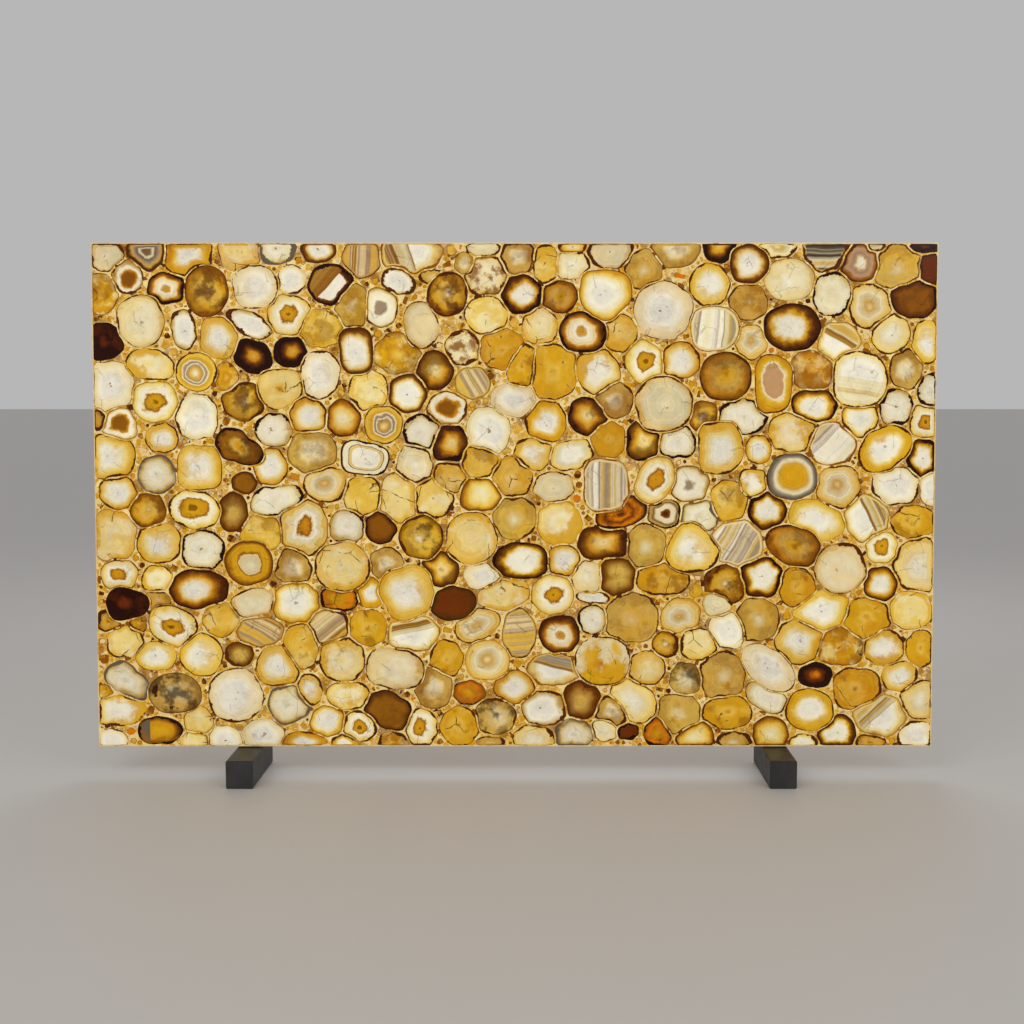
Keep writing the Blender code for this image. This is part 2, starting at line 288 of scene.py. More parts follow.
# What fills the room between the slices: half sizes in millimetres, largest first, and the kinds.
FILL_SIZES = (44, 37, 31, 26)
FILL_KINDS = (
    "honey", "ivory", "amber", "amber_white", "tan", "brown", "butter", "white_heart", "orange", "gold",
)
CHIP_SIZES = (21, 17, 13.5, 10.5, 8, 6.5)

# The grid that the room is found on and the gap left between two discs, in millimetres.
GRID = 1.5
GAP = 1.5

# Resin left round a chip, and the seed of what is drawn by lot.
CHIP_ROOM = 0.0006
FILL_SEED = 11

# The listed slices are drawn this much larger, then pressed against each other.
SPREAD = 1.07

# Families of kinds that are joined, region by region, into one piece each, and the finish each stands for.
FAMILIES = {
    "white_slices": ("agate_white_heart", (
        "white_heart", "white_black", "white_brown", "white_amber", "thin_amber", "soft_white",
        "grey_white", "grey_core",
    )),
    "pale_slices": ("agate_ivory", (
        "ivory", "ivory_dark", "ivory_amber", "greige", "greige_core", "butter", "butter_white",
    )),
    "honey_slices": ("agate_honey_white", (
        "honey_white", "amber_white", "amber_core", "honey", "orange_white", "glow", "brown_core",
    )),
    "amber_slices": ("agate_gold", (
        "gold", "amber", "orange", "tan", "dark_tan", "tan_white", "split_slate", "rust",
    )),
    "striped_slices": ("agate_striped_grey", (
        "striped_tan", "striped_grey", "striped_dark", "split_white", "split_dark", "violet_banded",
    )),
    "dark_slices": ("agate_dark_honey", (
        "dark_white", "dark_honey", "dark_core", "brown_white", "black", "black_glow", "mahogany",
        "umber_plain", "brown", "brown_mottle", "knotted", "smoky", "mauve_white", "black_amber", "target",
    )),
}
REGIONS = 3

# Soft lights: name, place, size and power in watts. Then the point that they are aimed at, and the sky.
LAMPS = (
    ("key", (-2.6, -4.2, 4.6), (3.6, 2.6), 78),
    ("fill", (3.4, -3.6, 3.8), (3.0, 2.4), 44),
    ("back", (0.5, 4.2, 4.4), (3.6, 2.4), 50),
)
LAMPS_AIM = Vector((0, 0, 0.9))
SKY_STRENGTH = 0.60


def colour_prop(name, description, value):
    return bpy.props.FloatVectorProperty(
        name=name, description=description, default=value, subtype="COLOR_GAMMA", size=3, min=0.0, max=1.0
    )


class SlabColours(bpy.types.PropertyGroup):
    """Colours of the stones and the resin, as they look with light behind them; that light is painted in as
    a glow of the same colours, with no lamp behind.
    """

    quartz: colour_prop("Quartz", "White crystal heart", (0.930, 0.892, 0.795))
    frost: colour_prop("Frost", "Bluish white crystal", (0.895, 0.868, 0.800))
    ivory: colour_prop("Ivory", "Warm white", (0.900, 0.840, 0.680))
    cream: colour_prop("Cream", "Pale yellow brown", (0.885, 0.775, 0.540))
    greige: colour_prop("Greige", "Greyish beige", (0.840, 0.775, 0.605))
    butter: colour_prop("Butter", "Pale yellow", (0.890, 0.780, 0.485))
    tan: colour_prop("Tan", "Light brown", (0.775, 0.605, 0.275))
    honey: colour_prop("Honey", "Clear yellow brown", (0.855, 0.670, 0.260))
    gold: colour_prop("Gold", "Deep yellow brown", (0.810, 0.585, 0.080))
    amber: colour_prop("Amber", "Orange brown", (0.765, 0.495, 0.060))
    orange: colour_prop("Orange", "Bright orange brown", (0.830, 0.430, 0.015))
    brown: colour_prop("Brown", "Middle brown", (0.530, 0.305, 0.025))
    umber: colour_prop("Umber", "Dark brown", (0.320, 0.145, 0.010))
    rind: colour_prop("Rind", "The skin of a nodule", (0.280, 0.130, 0.020))
    mahogany: colour_prop("Mahogany", "Dark red brown", (0.400, 0.145, 0.002))
    black: colour_prop("Black", "Nearly black red brown", (0.140, 0.035, 0.005))
    grey: colour_prop("Grey", "Warm grey", (0.580, 0.520, 0.430))
    slate: colour_prop("Slate", "Dark grey", (0.385, 0.335, 0.265))
    violet: colour_prop("Violet grey", "Greyish violet bands", (0.610, 0.495, 0.395))
    mauve: colour_prop("Mauve", "Pinkish brown", (0.735, 0.550, 0.385))
    peach: colour_prop("Peach", "Pale resin", (0.900, 0.765, 0.520))
    resin: colour_prop("Resin", "Amber resin", (0.830, 0.620, 0.230))
    halo: colour_prop("Halo", "The pale line round a chip", (0.940, 0.840, 0.560))


class SlabSizes(bpy.types.PropertyGroup):
    """Sizes that a user would change."""

    web: bpy.props.FloatProperty(
        name="Resin web", description="Least resin between two slices",
        default=0.0035, unit="LENGTH", min=0.001,
    )
    border: bpy.props.FloatProperty(
        name="Resin border", description="Resin between the slices and the sawn edge",
        default=0.004, unit="LENGTH",
    )
    chamfer: bpy.props.FloatProperty(
        name="Chamfer", description="Bevel along the slab's edges", default=0.0012, unit="LENGTH", min=0.0
    )
    # Painted glow: how strongly the stones and resin give off light in their own colour, standing in for
    # light from behind the slab.
    glow: bpy.props.FloatProperty(
        name="Glow", description="Light that comes through the stone", default=0.30, min=0.0, max=2.0
    )


class StandFinish(bpy.types.PropertyGroup):
    """Finish of the stand."""

    steel: colour_prop("Steel", "Black powder coat", (0.150, 0.150, 0.145))
    rubber: colour_prop("Rubber", "Black rubber", (0.130, 0.130, 0.130))


class StudioSettings(bpy.types.PropertyGroup):
    """Camera, floor and light."""

    eye: bpy.props.FloatVectorProperty(
        name="Eye", description="Where the camera stands",
        default=(0.0818, -4.513, 1.356), subtype="XYZ", unit="LENGTH",
    )
    pitch: bpy.props.FloatProperty(
        name="Pitch", description="How far the camera looks down",
        default=math.radians(5.10), subtype="ANGLE",
    )
    lens: bpy.props.FloatProperty(
        name="Lens", description="Focal length in millimetres", default=44.96, min=1.0
    )
    shift: bpy.props.FloatProperty(name="Shift", description="Sideways lens shift", default=-0.0251)
    floor: colour_prop("Floor", "Pale floor", (0.790, 0.775, 0.755))
    sky: colour_prop("Surroundings", "Even light from all round", (0.900, 0.900, 0.905))


class Wire:
    """A socket of a node tree. Sums on it add Math nodes, and node() adds any other node."""

    def __init__(self, tree, socket=None):
        self.tree = tree
        self.socket = socket

    def node(self, kind, settings=None, sockets=None, out=0):
        made = self.tree.nodes.new(kind)
        for key, value in (settings or {}).items():
            if key == "stops":
                Wire.set_stops(made.color_ramp, value)
            else:
                setattr(made, key, value)
        for key, value in (sockets or {}).items():
            if isinstance(value, Wire):
                self.tree.links.new(value.socket, made.inputs[key])
            else:
                made.inputs[key].default_value = value
        return Wire(self.tree, made.outputs[out]) if made.outputs else Wire(self.tree)

    @staticmethod
    def set_stops(ramp, stops):
        while len(ramp.elements) < len(stops):
            ramp.elements.new(1.0)
        for element, (position, colour) in zip(ramp.elements, stops):
            element.position = position
            element.color = (*colour, 1.0)

    def maths(self, operation, *others):
        sockets = dict(enumerate((self, *others)))
        return self.node("ShaderNodeMath", {"operation": operation}, sockets)

    def __add__(self, other):
        return self.maths("ADD", other)

    def __sub__(self, other):
        return self.maths("SUBTRACT", other)

    def __mul__(self, other):
        return self.maths("MULTIPLY", other)

    def __rsub__(self, other):
        return self.node("ShaderNodeMath", {"operation": "SUBTRACT"}, {0: other, 1: self})

    __radd__ = __add__
    __rmul__ = __mul__

    def step(self, low, high):
        """0 below low, 1 above high, smooth between them; low may be the greater."""
        settings = {"interpolation_type": "SMOOTHSTEP"}
        return self.node("ShaderNodeMapRange", settings, {"Value": self, "From Min": low, "From Max": high})

    def mix(self, start, end):
        """The start colour where this is 0 and the end colour where it is 1."""
        return self.node("ShaderNodeMix", {"data_type": "RGBA"}, {0: self, 6: start, 7: end}, out=2)

    def ramp(self, stops, interpolation="LINEAR"):
        made = self.node("ShaderNodeValToRGB", {"stops": stops}, {"Fac": self})
        made.socket.node.color_ramp.interpolation = interpolation
        return made

    def noise(self, scale, detail=2.0, rough=0.5):
        """Noise from 0 to 1 over this vector, about 0.5."""
        sockets = {"Vector": self, "Scale": scale, "Detail": detail, "Roughness": rough}
        return self.node("ShaderNodeTexNoise", {}, sockets)

    def net(self, scale):
        """Distance from the nearest line of a net of cells."""
        sockets = {"Vector": self, "Scale": scale}
        return self.node("ShaderNodeTexVoronoi", {"feature": "DISTANCE_TO_EDGE"}, sockets)

    def value(self, amount):
        """This colour, lighter or darker by the amount."""
        return self.node("ShaderNodeHueSaturation", {}, {"Color": self, "Value": amount})

    def attribute(self, name):
        return self.node("ShaderNodeAttribute", {"attribute_name": name}, out=2)

    def place(self):
        return self.node("ShaderNodeTexCoord", out=3)


def linear(gamma):
    """A screen colour as the light it stands for."""
    return tuple(c / 12.92 if c <= 0.04045 else ((c + 0.055) / 1.055) ** 2.4 for c in gamma)


def paint(name):
    return linear(getattr(bpy.context.scene.slab_colours, name))


def new_material(name):
    mat = bpy.data.materials.new(name)
    mat.use_nodes = True
    mat.node_tree.nodes.clear()
    return mat, Wire(mat.node_tree)


def finish_material(wire, colour, rough, bump=None, bump_depth=0.0, glow=0.0, shine=0.5):
    sockets = {"Base Color": colour, "Roughness": rough, "IOR": 1.54, "Specular IOR Level": shine}
    # A glow is painted light: the surface gives off light in its own base colour.
    if glow:
        sockets["Emission Color"] = colour
        sockets["Emission Strength"] = glow
    if bump is not None:
        relief = {"Height": bump, "Distance": bump_depth, "Strength": 0.6}
        sockets["Normal"] = wire.node("ShaderNodeBump", {}, relief)
    shader = wire.node("ShaderNodeBsdfPrincipled", {}, sockets)
    wire.node("ShaderNodeOutputMaterial", {}, {"Surface": shader})


def finish_stone(wire, colour, rough, bump, bump_depth):
    """Polished stone or resin with a painted glow: it gives off light in its own colour, in place of light
    coming through from behind.
    """
    glow = bpy.context.scene.slab_sizes.glow
    finish_material(wire, colour, rough, bump, bump_depth, glow, SLAB_SHINE)


# What each kind shows. bands: per cent of the way from the rim to the middle, and the colour there.
# rind: its width in millimetres and colour. warp: how far bands wander. lines: how many fine bands, and
# how strong. mottle: colour, how much, size per metre. stain: colour and reach of what has soaked in from
# one side. stripes: colours across straight lines, and where they begin, in millimetres from the middle.
# specks: dark grains at the heart. crystal: how grainy the middle is. cracks and smoke: how much they show.
LOOKS = {
    "white_heart": dict(bands="0 greige, 8 cream, 18 ivory, 40 quartz, 70 frost, 100 quartz",
        stain=("cream", 0.4), specks=0.9, crystal=0.22, lines=(10, 0.05)),
    "white_black": dict(bands="0 brown, 6 tan, 16 greige, 30 ivory, 60 quartz, 100 ivory",
        rind=(6, "black"), specks=0.8, crystal=0.2, lines=(8, 0.05)),
    "white_brown": dict(bands="0 umber, 9 tan, 19 greige, 34 quartz, 100 frost", rind=(7, "umber"),
        specks=0.9, crystal=0.22),
    "white_amber": dict(bands="0 brown, 8 honey, 20 butter, 36 ivory, 56 quartz, 100 quartz",
        rind=(5, "umber"), stain=("gold", 0.9), crystal=0.2),
    "thin_amber": dict(bands="0 umber, 6 amber, 17 honey, 28 butter, 40 ivory, 54 quartz, 100 frost",
        rind=(4, "umber"), crystal=0.2, lines=(14, 0.06), specks=0.6),
    "ivory": dict(bands="0 brown, 5 tan, 14 cream, 34 ivory, 70 ivory, 100 quartz", lines=(9, 0.05),
        stain=("butter", 0.6), mottle=("greige", 0.5, 14), specks=0.6),
    "ivory_dark": dict(bands="0 umber, 6 tan, 24 greige, 50 ivory, 100 greige", rind=(7, "black"),
        lines=(9, 0.05), mottle=("quartz", 0.5, 14)),
    "ivory_amber": dict(bands="0 brown, 6 honey, 16 butter, 40 cream, 65 ivory, 100 butter",
        rind=(4, "rind"), stain=("gold", 0.9), specks=0.4),
    "soft_white": dict(bands="0 tan, 6 honey, 20 butter, 36 greige, 58 quartz, 100 quartz", warp=0.05),
    "greige": dict(bands="0 brown, 6 tan, 24 greige, 60 greige, 100 ivory", lines=(8, 0.06), specks=0.8,
        mottle=("cream", 0.6, 12)),
    "greige_core": dict(
        bands="0 amber, 7 honey, 22 butter, 33 cream, 40 ivory, 46 greige, 80 tan, 100 cream",
        lines=(12, 0.08)),
    "grey_core": dict(bands="0 umber, 8 tan, 17 ivory, 60 quartz, 66 greige, 76 grey, 100 violet",
        warp=0.14, rind=(4, "umber")),
    "butter": dict(bands="0 amber, 6 gold, 15 honey, 28 butter, 70 butter, 100 cream", lines=(9, 0.05),
        mottle=("ivory", 0.6, 15), stain=("honey", 0.7), specks=0.5, cracks=0.9),
    "butter_white": dict(bands="0 amber, 6 honey, 20 butter, 42 cream, 60 ivory, 100 quartz", crystal=0.2,
        specks=0.6, lines=(14, 0.07)),
    "honey": dict(bands="0 brown, 6 gold, 16 honey, 50 honey, 100 honey", mottle=("butter", 0.6, 16),
        stain=("gold", 0.8), lines=(10, 0.07), specks=0.8, cracks=0.9, smoke=0.5),
    "gold": dict(bands="0 brown, 8 gold, 55 gold, 80 honey, 100 amber", mottle=("honey", 0.6, 16),
        stain=("amber", 0.6), specks=0.5, cracks=0.9, smoke=0.6),
    "amber": dict(bands="0 umber, 10 amber, 40 gold, 70 amber, 100 honey", mottle=("butter", 0.8, 22),
        stain=("brown", 0.6), cracks=0.9, smoke=0.5),
    "orange": dict(bands="0 umber, 8 brown, 22 orange, 55 amber, 100 gold", mottle=("brown", 0.4, 28),
        rind=(6, "black"), stain=("brown", 0.5), cracks=0.9),
    "tan": dict(bands="0 umber, 6 tan, 60 tan, 100 greige", mottle=("gold", 0.5, 10), stain=("brown", 0.4),
        lines=(7, 0.06), smoke=0.5),
    "dark_tan": dict(bands="0 black, 6 umber, 26 brown, 70 tan, 100 tan", rind=(6, "umber"), warp=0.2,
        lines=(8, 0.08), stain=("umber", 0.5), smoke=0.4),
    "tan_disc": dict(bands="0 umber, 5 tan, 14 cream, 40 ivory, 100 ivory", lines=(10, 0.04),
        rind=(6, "umber"), mottle=("peach", 0.5, 12), specks=0.5),
    "tan_white": dict(bands="0 umber, 8 tan, 36 tan, 54 cream, 80 ivory, 100 greige",
        mottle=("brown", 0.4, 16), crystal=0.15, stain=("brown", 0.5), smoke=0.4),
    "honey_white": dict(bands="0 brown, 5 gold, 17 honey, 33 butter, 46 ivory, 60 quartz, 100 frost",
        lines=(14, 0.07), crystal=0.22, specks=0.6, stain=("honey", 0.7)),
    "amber_white": dict(bands="0 umber, 8 amber, 20 gold, 31 honey, 42 butter, 54 quartz, 100 frost",
        lines=(14, 0.08), crystal=0.2, warp=0.16, stain=("gold", 0.8), specks=0.5),
    "orange_white": dict(
        bands="0 black, 9 umber, 19 brown, 29 amber, 40 honey, 52 ivory, 66 quartz, 100 frost",
        lines=(14, 0.08), crystal=0.2, rind=(6, "black"), warp=0.14, specks=0.5),
    "brown_white": dict(bands="0 rind, 9 umber, 19 brown, 28 tan, 39 cream, 52 quartz, 100 frost",
        crystal=0.22, specks=0.8, rind=(5, "rind"), warp=0.14),
    "dark_white": dict(bands="0 black, 14 umber, 25 brown, 36 gold, 46 cream, 58 quartz, 100 quartz",
        crystal=0.25, specks=1.0, warp=0.18, rind=(7, "black")),
    "dark_honey": dict(bands="0 black, 12 umber, 25 brown, 40 amber, 62 honey, 85 cream, 100 tan", warp=0.2,
        rind=(6, "black"), lines=(12, 0.12), stain=("umber", 0.7)),
    "amber_core": dict(
        bands="0 brown, 6 honey, 18 butter, 34 ivory, 48 quartz, 54 cream, 60 brown, 68 amber, 90 gold, "
              "100 brown",
        warp=0.2, lines=(12, 0.08), crystal=0.1),
    "dark_core": dict(
        bands="0 black, 10 umber, 21 brown, 30 amber, 38 cream, 55 ivory, 66 quartz, 74 tan, 90 amber, "
              "100 cream",
        rind=(7, "black"), lines=(16, 0.1), warp=0.12),
    "amber_banded": dict(
        bands="0 brown, 5 gold, 14 honey, 38 gold, 44 ivory, 49 violet, 55 violet, 60 ivory, 66 violet, "
              "78 gold, 100 ivory",
        lines=(20, 0.12), warp=0.1),
    "violet_banded": dict(
        bands="0 rind, 10 umber, 20 tan, 34 violet, 50 slate, 62 greige, 78 slate, 100 brown",
        lines=(16, 0.2), rind=(7, "umber")),
    "envelope": dict(
        bands="0 black, 6 rind, 9 ivory, 24 ivory, 27 umber, 31 cream, 38 honey, 42 quartz, 90 quartz, "
              "100 violet",
        warp=0.04, rind=(9, "black"), lines=(20, 0.06), crystal=0.15),
    "grey_white": dict(bands="0 umber, 6 slate, 16 tan, 28 greige, 46 ivory, 70 quartz, 100 greige",
        crystal=0.22, specks=1.0, warp=0.14, rind=(5, "slate"), mottle=("greige", 0.5, 12)),
    "grey_amber": dict(bands="0 slate, 8 slate, 17 grey, 27 ivory, 35 cream, 43 tan, 52 gold, 100 gold",
        warp=0.05, rind=(4, "rind"), lines=(14, 0.1)),
    "striped_grey": dict(bands="0 brown, 8 cream, 20 greige, 100 ivory", rind=(4, "brown"),
        stripes=(("ivory", "quartz", "violet", "greige", "tan", "grey"), -300)),
    "striped_pale": dict(bands="0 honey, 10 butter, 25 quartz, 100 frost",
        stripes=(("ivory", "butter", "greige", "ivory", "tan", "ivory"), -2), crystal=0.25),
    "striped_tan": dict(bands="0 brown, 10 tan, 100 cream",
        stripes=(("tan", "honey", "violet", "cream", "brown", "honey"), -300)),
    "split_white": dict(bands="0 brown, 6 tan, 16 butter, 26 ivory, 40 quartz, 100 frost",
        rind=(4, "brown"), stripes=(("tan", "greige", "brown", "tan", "grey", "cream"), 2), crystal=0.15),
    "split_dark": dict(bands="0 black, 14 rind, 20 brown, 25 quartz, 100 quartz", rind=(9, "black"),
        stripes=(("tan", "brown"), 4)),
    "split_slate": dict(bands="0 black, 14 umber, 28 brown, 45 amber, 100 gold", rind=(8, "black"),
        stripes=(("slate", "slate", "grey"), 32), stain=("brown", 0.7)),
    "black": dict(bands="0 black, 60 black, 100 mahogany", mottle=("mahogany", 0.3, 16), rind=(3, "black"),
        warp=0.3),
    "black_glow": dict(bands="0 black, 35 black, 65 mahogany, 100 orange", rind=(4, "black"), warp=0.2),
    "mahogany": dict(bands="0 black, 14 umber, 34 mahogany, 100 mahogany", mottle=("umber", 0.5, 16),
        rind=(7, "black"), warp=0.3),
    "umber_plain": dict(bands="0 black, 10 umber, 35 brown, 100 brown", rind=(4, "black"),
        mottle=("umber", 0.4, 14)),
    "brown": dict(bands="0 umber, 8 brown, 20 amber, 50 tan, 80 gold, 100 brown", mottle=("brown", 0.5, 12),
        rind=(5, "rind"), lines=(8, 0.08), stain=("umber", 0.5), warp=0.2),
    "brown_mottle": dict(bands="0 umber, 8 brown, 24 gold, 55 honey, 80 tan, 100 ivory",
        mottle=("umber", 0.8, 16), rind=(6, "rind"), warp=0.3, stain=("brown", 0.6)),
    "knotted": dict(bands="0 umber, 8 tan, 20 cream, 60 ivory, 100 cream", mottle=("brown", 0.9, 22),
        rind=(7, "umber"), warp=0.2),
    "smoky": dict(bands="0 umber, 5 tan, 30 tan, 100 greige", mottle=("black", 0.8, 15),
        stain=("umber", 0.55), rind=(5, "umber"), warp=0.4),
    "mauve": dict(bands="0 umber, 6 amber, 24 gold, 36 honey, 45 ivory, 53 mauve, 100 mauve",
        rind=(5, "umber"), warp=0.16, lines=(10, 0.06)),
    "mauve_white": dict(bands="0 umber, 12 brown, 28 mauve, 50 violet, 64 mauve, 76 ivory, 100 quartz",
        rind=(5, "rind"), lines=(12, 0.12), crystal=0.15),
    "black_amber": dict(bands="0 black, 30 black, 46 umber, 58 brown, 68 amber, 100 honey", warp=0.14,
        rind=(4, "black"), crystal=0.1),
    "target": dict(
        bands="0 umber, 10 tan, 20 slate, 28 tan, 36 ivory, 58 ivory, 66 brown, 80 umber, 100 umber",
        warp=0.05, rind=(5, "black")),
    "rust": dict(bands="0 black, 10 umber, 24 orange, 50 mahogany, 75 orange, 100 mahogany",
        mottle=("umber", 0.5, 22), rind=(5, "black"), warp=0.2),
    "glow": dict(bands="0 umber, 10 brown, 20 amber, 36 honey, 62 butter, 100 ivory", rind=(5, "umber"),
        warp=0.16, lines=(14, 0.08), specks=0.5),
    "brown_core": dict(bands="0 brown, 6 tan, 18 ivory, 30 quartz, 38 cream, 44 amber, 60 brown, 100 brown",
        warp=0.2, lines=(12, 0.08), rind=(5, "umber")),
    "striped_dark": dict(bands="0 brown, 8 tan, 20 greige, 100 ivory", rind=(5, "umber"),
        stripes=(("umber", "greige", "slate", "black", "greige", "tan"), -300)),
    "butter_spots": dict(bands="0 amber, 6 honey, 15 butter, 60 butter, 80 honey, 100 brown",
        stain=("honey", 0.6), specks=1.0, cracks=0.9),
    "gold_greige": dict(
        bands="0 umber, 8 brown, 20 gold, 40 gold, 47 brown, 52 cream, 70 greige, 100 ivory",
        lines=(14, 0.1), crystal=0.15),
    "gold_patch": dict(bands="0 brown, 8 gold, 60 gold, 85 amber, 100 brown", mottle=("honey", 0.5, 12),
        stain=("greige", 0.95), cracks=0.6),
    "dark_bean": dict(bands="0 black, 12 umber, 30 brown, 55 brown, 80 tan, 100 amber", rind=(7, "black"),
        mottle=("umber", 0.8, 16), stain=("umber", 0.6), warp=0.3),
}
LOOK_DEFAULTS = dict(
    rind=(4, "rind"), warp=0.12, lines=(12, 0.05), mottle=None, stain=None, stripes=None, specks=0.0,
    crystal=0.0, cracks=0.35, smoke=0.0,
)

# What share of the resin's fine bits, and of the chips, has each colour: from which per cent on.
RESIN_BITS = (
    "0 resin, 16 peach, 34 honey, 44 gold, 54 tan, 62 resin, 74 butter, 84 brown, 90 halo, 97 umber"
)
CHIP_COLOURS = (
    "0 honey, 14 gold, 28 amber, 36 cream, 44 peach, 52 orange, 56 brown, 64 resin, 76 butter, 82 umber, "
    "89 rind, 94 honey"
)

# Wear on the stand and the floor, as light: dust and rubbed places on steel, dull rubber, and scuffs.
DUST = (0.10, 0.095, 0.088, 1.0)
RUBBED = (0.14, 0.135, 0.13, 1.0)
DULL = (0.035, 0.034, 0.032, 1.0)
SCUFFED = (0.45, 0.43, 0.40, 1.0)


def band_stops(text):
    """Colour stops from words such as 0 brown, 20 tan: per cent of the way, and the colour there."""
    rows = (row.split() for row in text.split(", "))
    return [(int(share) / 100, paint(name)) for share, name in rows]


def tint(name):
    return (*paint(name), 1.0)


# The materials read four values at each point of a slice. ring: 0 at the rim, 1 at the middle.
# depth: how far from the rim, in millimetres. stripe: how far from a line through the middle, in
# millimetres. pick: a number from 0 to 1, drawn by lot for each slice.


def add_stripes(wire, place, base, look):
    """Straight lines across the slice, from the given distance off its middle."""
    names, begin = look["stripes"]
    across = wire.attribute("stripe")
    drift = (place.noise(9.0) - 0.5) * 16.0
    along = across + drift
    seed = wire.attribute("pick") * 60.0
    spot = wire.node("ShaderNodeCombineXYZ", {}, {"X": along * 0.016 + seed, "Y": seed})
    lines = spot.noise(1.0, detail=4.0, rough=0.5).step(0.32, 0.68)
    colours = [(i / (len(names) - 1), paint(name)) for i, name in enumerate(names)]
    inside = wire.attribute("ring").step(0.10, 0.16)
    return (along.step(begin, begin + 4.0) * inside).mix(base, lines.ramp(colours))


def add_clouds(wire, place, base, look):
    """Mottling, what has soaked in from one side, and, in some slices of a kind, smoke."""
    if look["mottle"]:
        name, amount, size = look["mottle"]
        cloud = place.noise(size, 4.0, 0.6).step(0.46, 0.62)
        base = (cloud * amount).mix(base, tint(name))
    if look["stain"]:
        name, amount = look["stain"]
        side = wire.attribute("stripe") * 0.01
        soaked = place.noise(13.0, 4.0, 0.6) + side * 0.12 - wire.attribute("ring") * 0.22
        base = (soaked.step(0.38, 0.54) * amount).mix(base, tint(name))
    if look["smoke"]:
        chance = (wire.attribute("pick") * 13.7).maths("FRACT").step(0.40, 0.46)
        smoke = place.noise(10.0, 4.0, 0.6).step(0.53, 0.62) * chance
        base = (smoke * look["smoke"]).mix(base, tint("brown"))
    return base


def add_cracks(wire, place, base, look):
    """Fine dark cracks, in patches."""
    net = shaken(wire, place).net(11.0)
    crack = (1.0 - net.step(0.006, 0.022)) * place.noise(16.0).step(0.53, 0.61)
    return (crack * look["cracks"]).mix(base, tint("umber"))


def add_rind(wire, place, base, look):
    """The nodule's skin, wide in some places and thin or gone in others, and thinner on some slices."""
    width, name = look["rind"]
    edge = (place.noise(17.0, 2.0) - 0.38) * (6.5 * width) + (place.noise(110.0, 2.0) - 0.5) * (1.8 * width)
    edge = edge * ((wire.attribute("pick") * 7.3).maths("FRACT").step(0.05, 0.55) + 0.2)
    skin = 1.0 - (wire.attribute("depth") - edge).step(-0.6, 1.4)
    return skin.mix(base, tint(name))


def agate_material(kind):
    """One kind of agate: bands that follow the rim, stripes, clouds, fine bands, grains and the rind."""
    look = {**LOOK_DEFAULTS, **LOOKS[kind]}
    mat, wire = new_material(f"agate_{kind}")
    place = wire.place()
    ring = wire.attribute("ring")
    pick = wire.attribute("pick")
    side = wire.attribute("stripe") * 0.01
    wander = (place.noise(26.0, 4.0, 0.6) - 0.5) * 3.0 + (place.noise(11.0, 2.0) - 0.5) * 2.0
    shift = wander * look["warp"] + side * 0.10 + (pick - 0.5) * 0.14
    level = ring + shift * ring.step(0.0, 0.3)
    base = level.ramp(band_stops(look["bands"]))
    if look["stripes"]:
        base = add_stripes(wire, place, base, look)
    base = add_clouds(wire, place, base, look)
    value = (pick - 0.5) * 0.16 + 1.035
    count, strength = look["lines"]
    if count:
        spot = wire.node("ShaderNodeCombineXYZ", {}, {"X": level * float(count), "Y": pick * 50.0})
        value = value + (spot.noise(1.6, 3.0) - 0.5) * (1.3 - ring) * (strength * 8.0)
    grain = wire.node("ShaderNodeTexVoronoi", {}, {"Vector": place, "Scale": 120.0})
    if look["crystal"]:
        value = value - grain * (look["crystal"] * 0.6) * level.step(0.35, 0.6)
    value = value + (place.noise(45.0, 5.0, 0.6) - 0.5) * 0.34 + (place.noise(12.0) - 0.5) * 0.32
    sockets = {"Color": base, "Hue": 0.498 + pick * 0.012, "Value": value}
    base = wire.node("ShaderNodeHueSaturation", {}, sockets)
    if look["specks"]:
        heart = (place.noise(70.0, 3.0) * 0.6 + ring * 0.5).step(0.80, 0.86)
        base = (heart * look["specks"]).mix(base, tint("brown"))
    base = add_cracks(wire, place, base, look)
    base = add_rind(wire, place, base, look)
    rough = place.noise(35.0) * 0.10 + 0.10
    finish_stone(wire, base, rough, grain, 0.0002)
    return mat


def border_distance(wire, place):
    """How far a point of the slab is from its nearest sawn edge, in metres."""
    matrix, wide, high = slab_matrix()
    flat = []
    for axis, length in ((matrix.col[0], wide), (matrix.col[1], high)):
        way = Vector(axis[:3])
        along = wire.node("ShaderNodeVectorMath", {"operation": "DOT_PRODUCT"}, {0: place, 1: way}, out=1)
        begin = way.dot(matrix.translation)
        flat.append((along - begin).maths("MINIMUM", length - (along - begin)))
    return flat[0].maths("MINIMUM", flat[1])


def shaken(wire, place):
    """The place, shifted a little here and there, so that what follows it has no straight edge."""
    shift = wire.node("ShaderNodeTexNoise", {}, {"Vector": place, "Scale": 60.0}, out=1)
    sockets = {0: shift, 1: (0.012,) * 3, 2: place}
    return wire.node("ShaderNodeVectorMath", {"operation": "MULTIPLY_ADD"}, sockets)


def resin_material():
    """Amber resin full of broken chips, with a painted glow along the sawn edge: a pale cream rim that
    stands for light from behind showing round the edge.
    """
    mat, wire = new_material("amber_resin_with_chips")
    place = wire.place()
    bent = shaken(wire, place)
    bits = wire.node("ShaderNodeTexVoronoi", {}, {"Vector": bent, "Scale": 50.0}, out=1)
    shade = wire.node("ShaderNodeSeparateColor", {}, {"Color": bits})
    base = shade.ramp(band_stops(RESIN_BITS), "CONSTANT")
    seams = bent.net(50.0)
    base = ((1.0 - seams.step(0.02, 0.09)) * 0.7).mix(base, tint("halo"))
    dark = place.noise(15.0, 4.0, 0.6).step(0.53, 0.60)
    base = (dark * 0.65).mix(base, tint("brown"))
    base = base.value(0.84 + place.noise(40.0, 4.0) * 0.30)
    # Painted glow: a pale cream band about 4 mm wide along the sawn edge, where light from behind shows
    # round the slab.
    rim = border_distance(wire, place)
    sawn = (1.0 - rim.step(0.003, 0.005)) * (place.noise(30.0, 4.0).step(0.38, 0.62) * 0.5 + 0.42)
    base = sawn.mix(base, tint("cream"))
    rough = place.noise(40.0) * 0.10 + 0.12
    finish_stone(wire, base, rough, seams, 0.0001)
    return mat


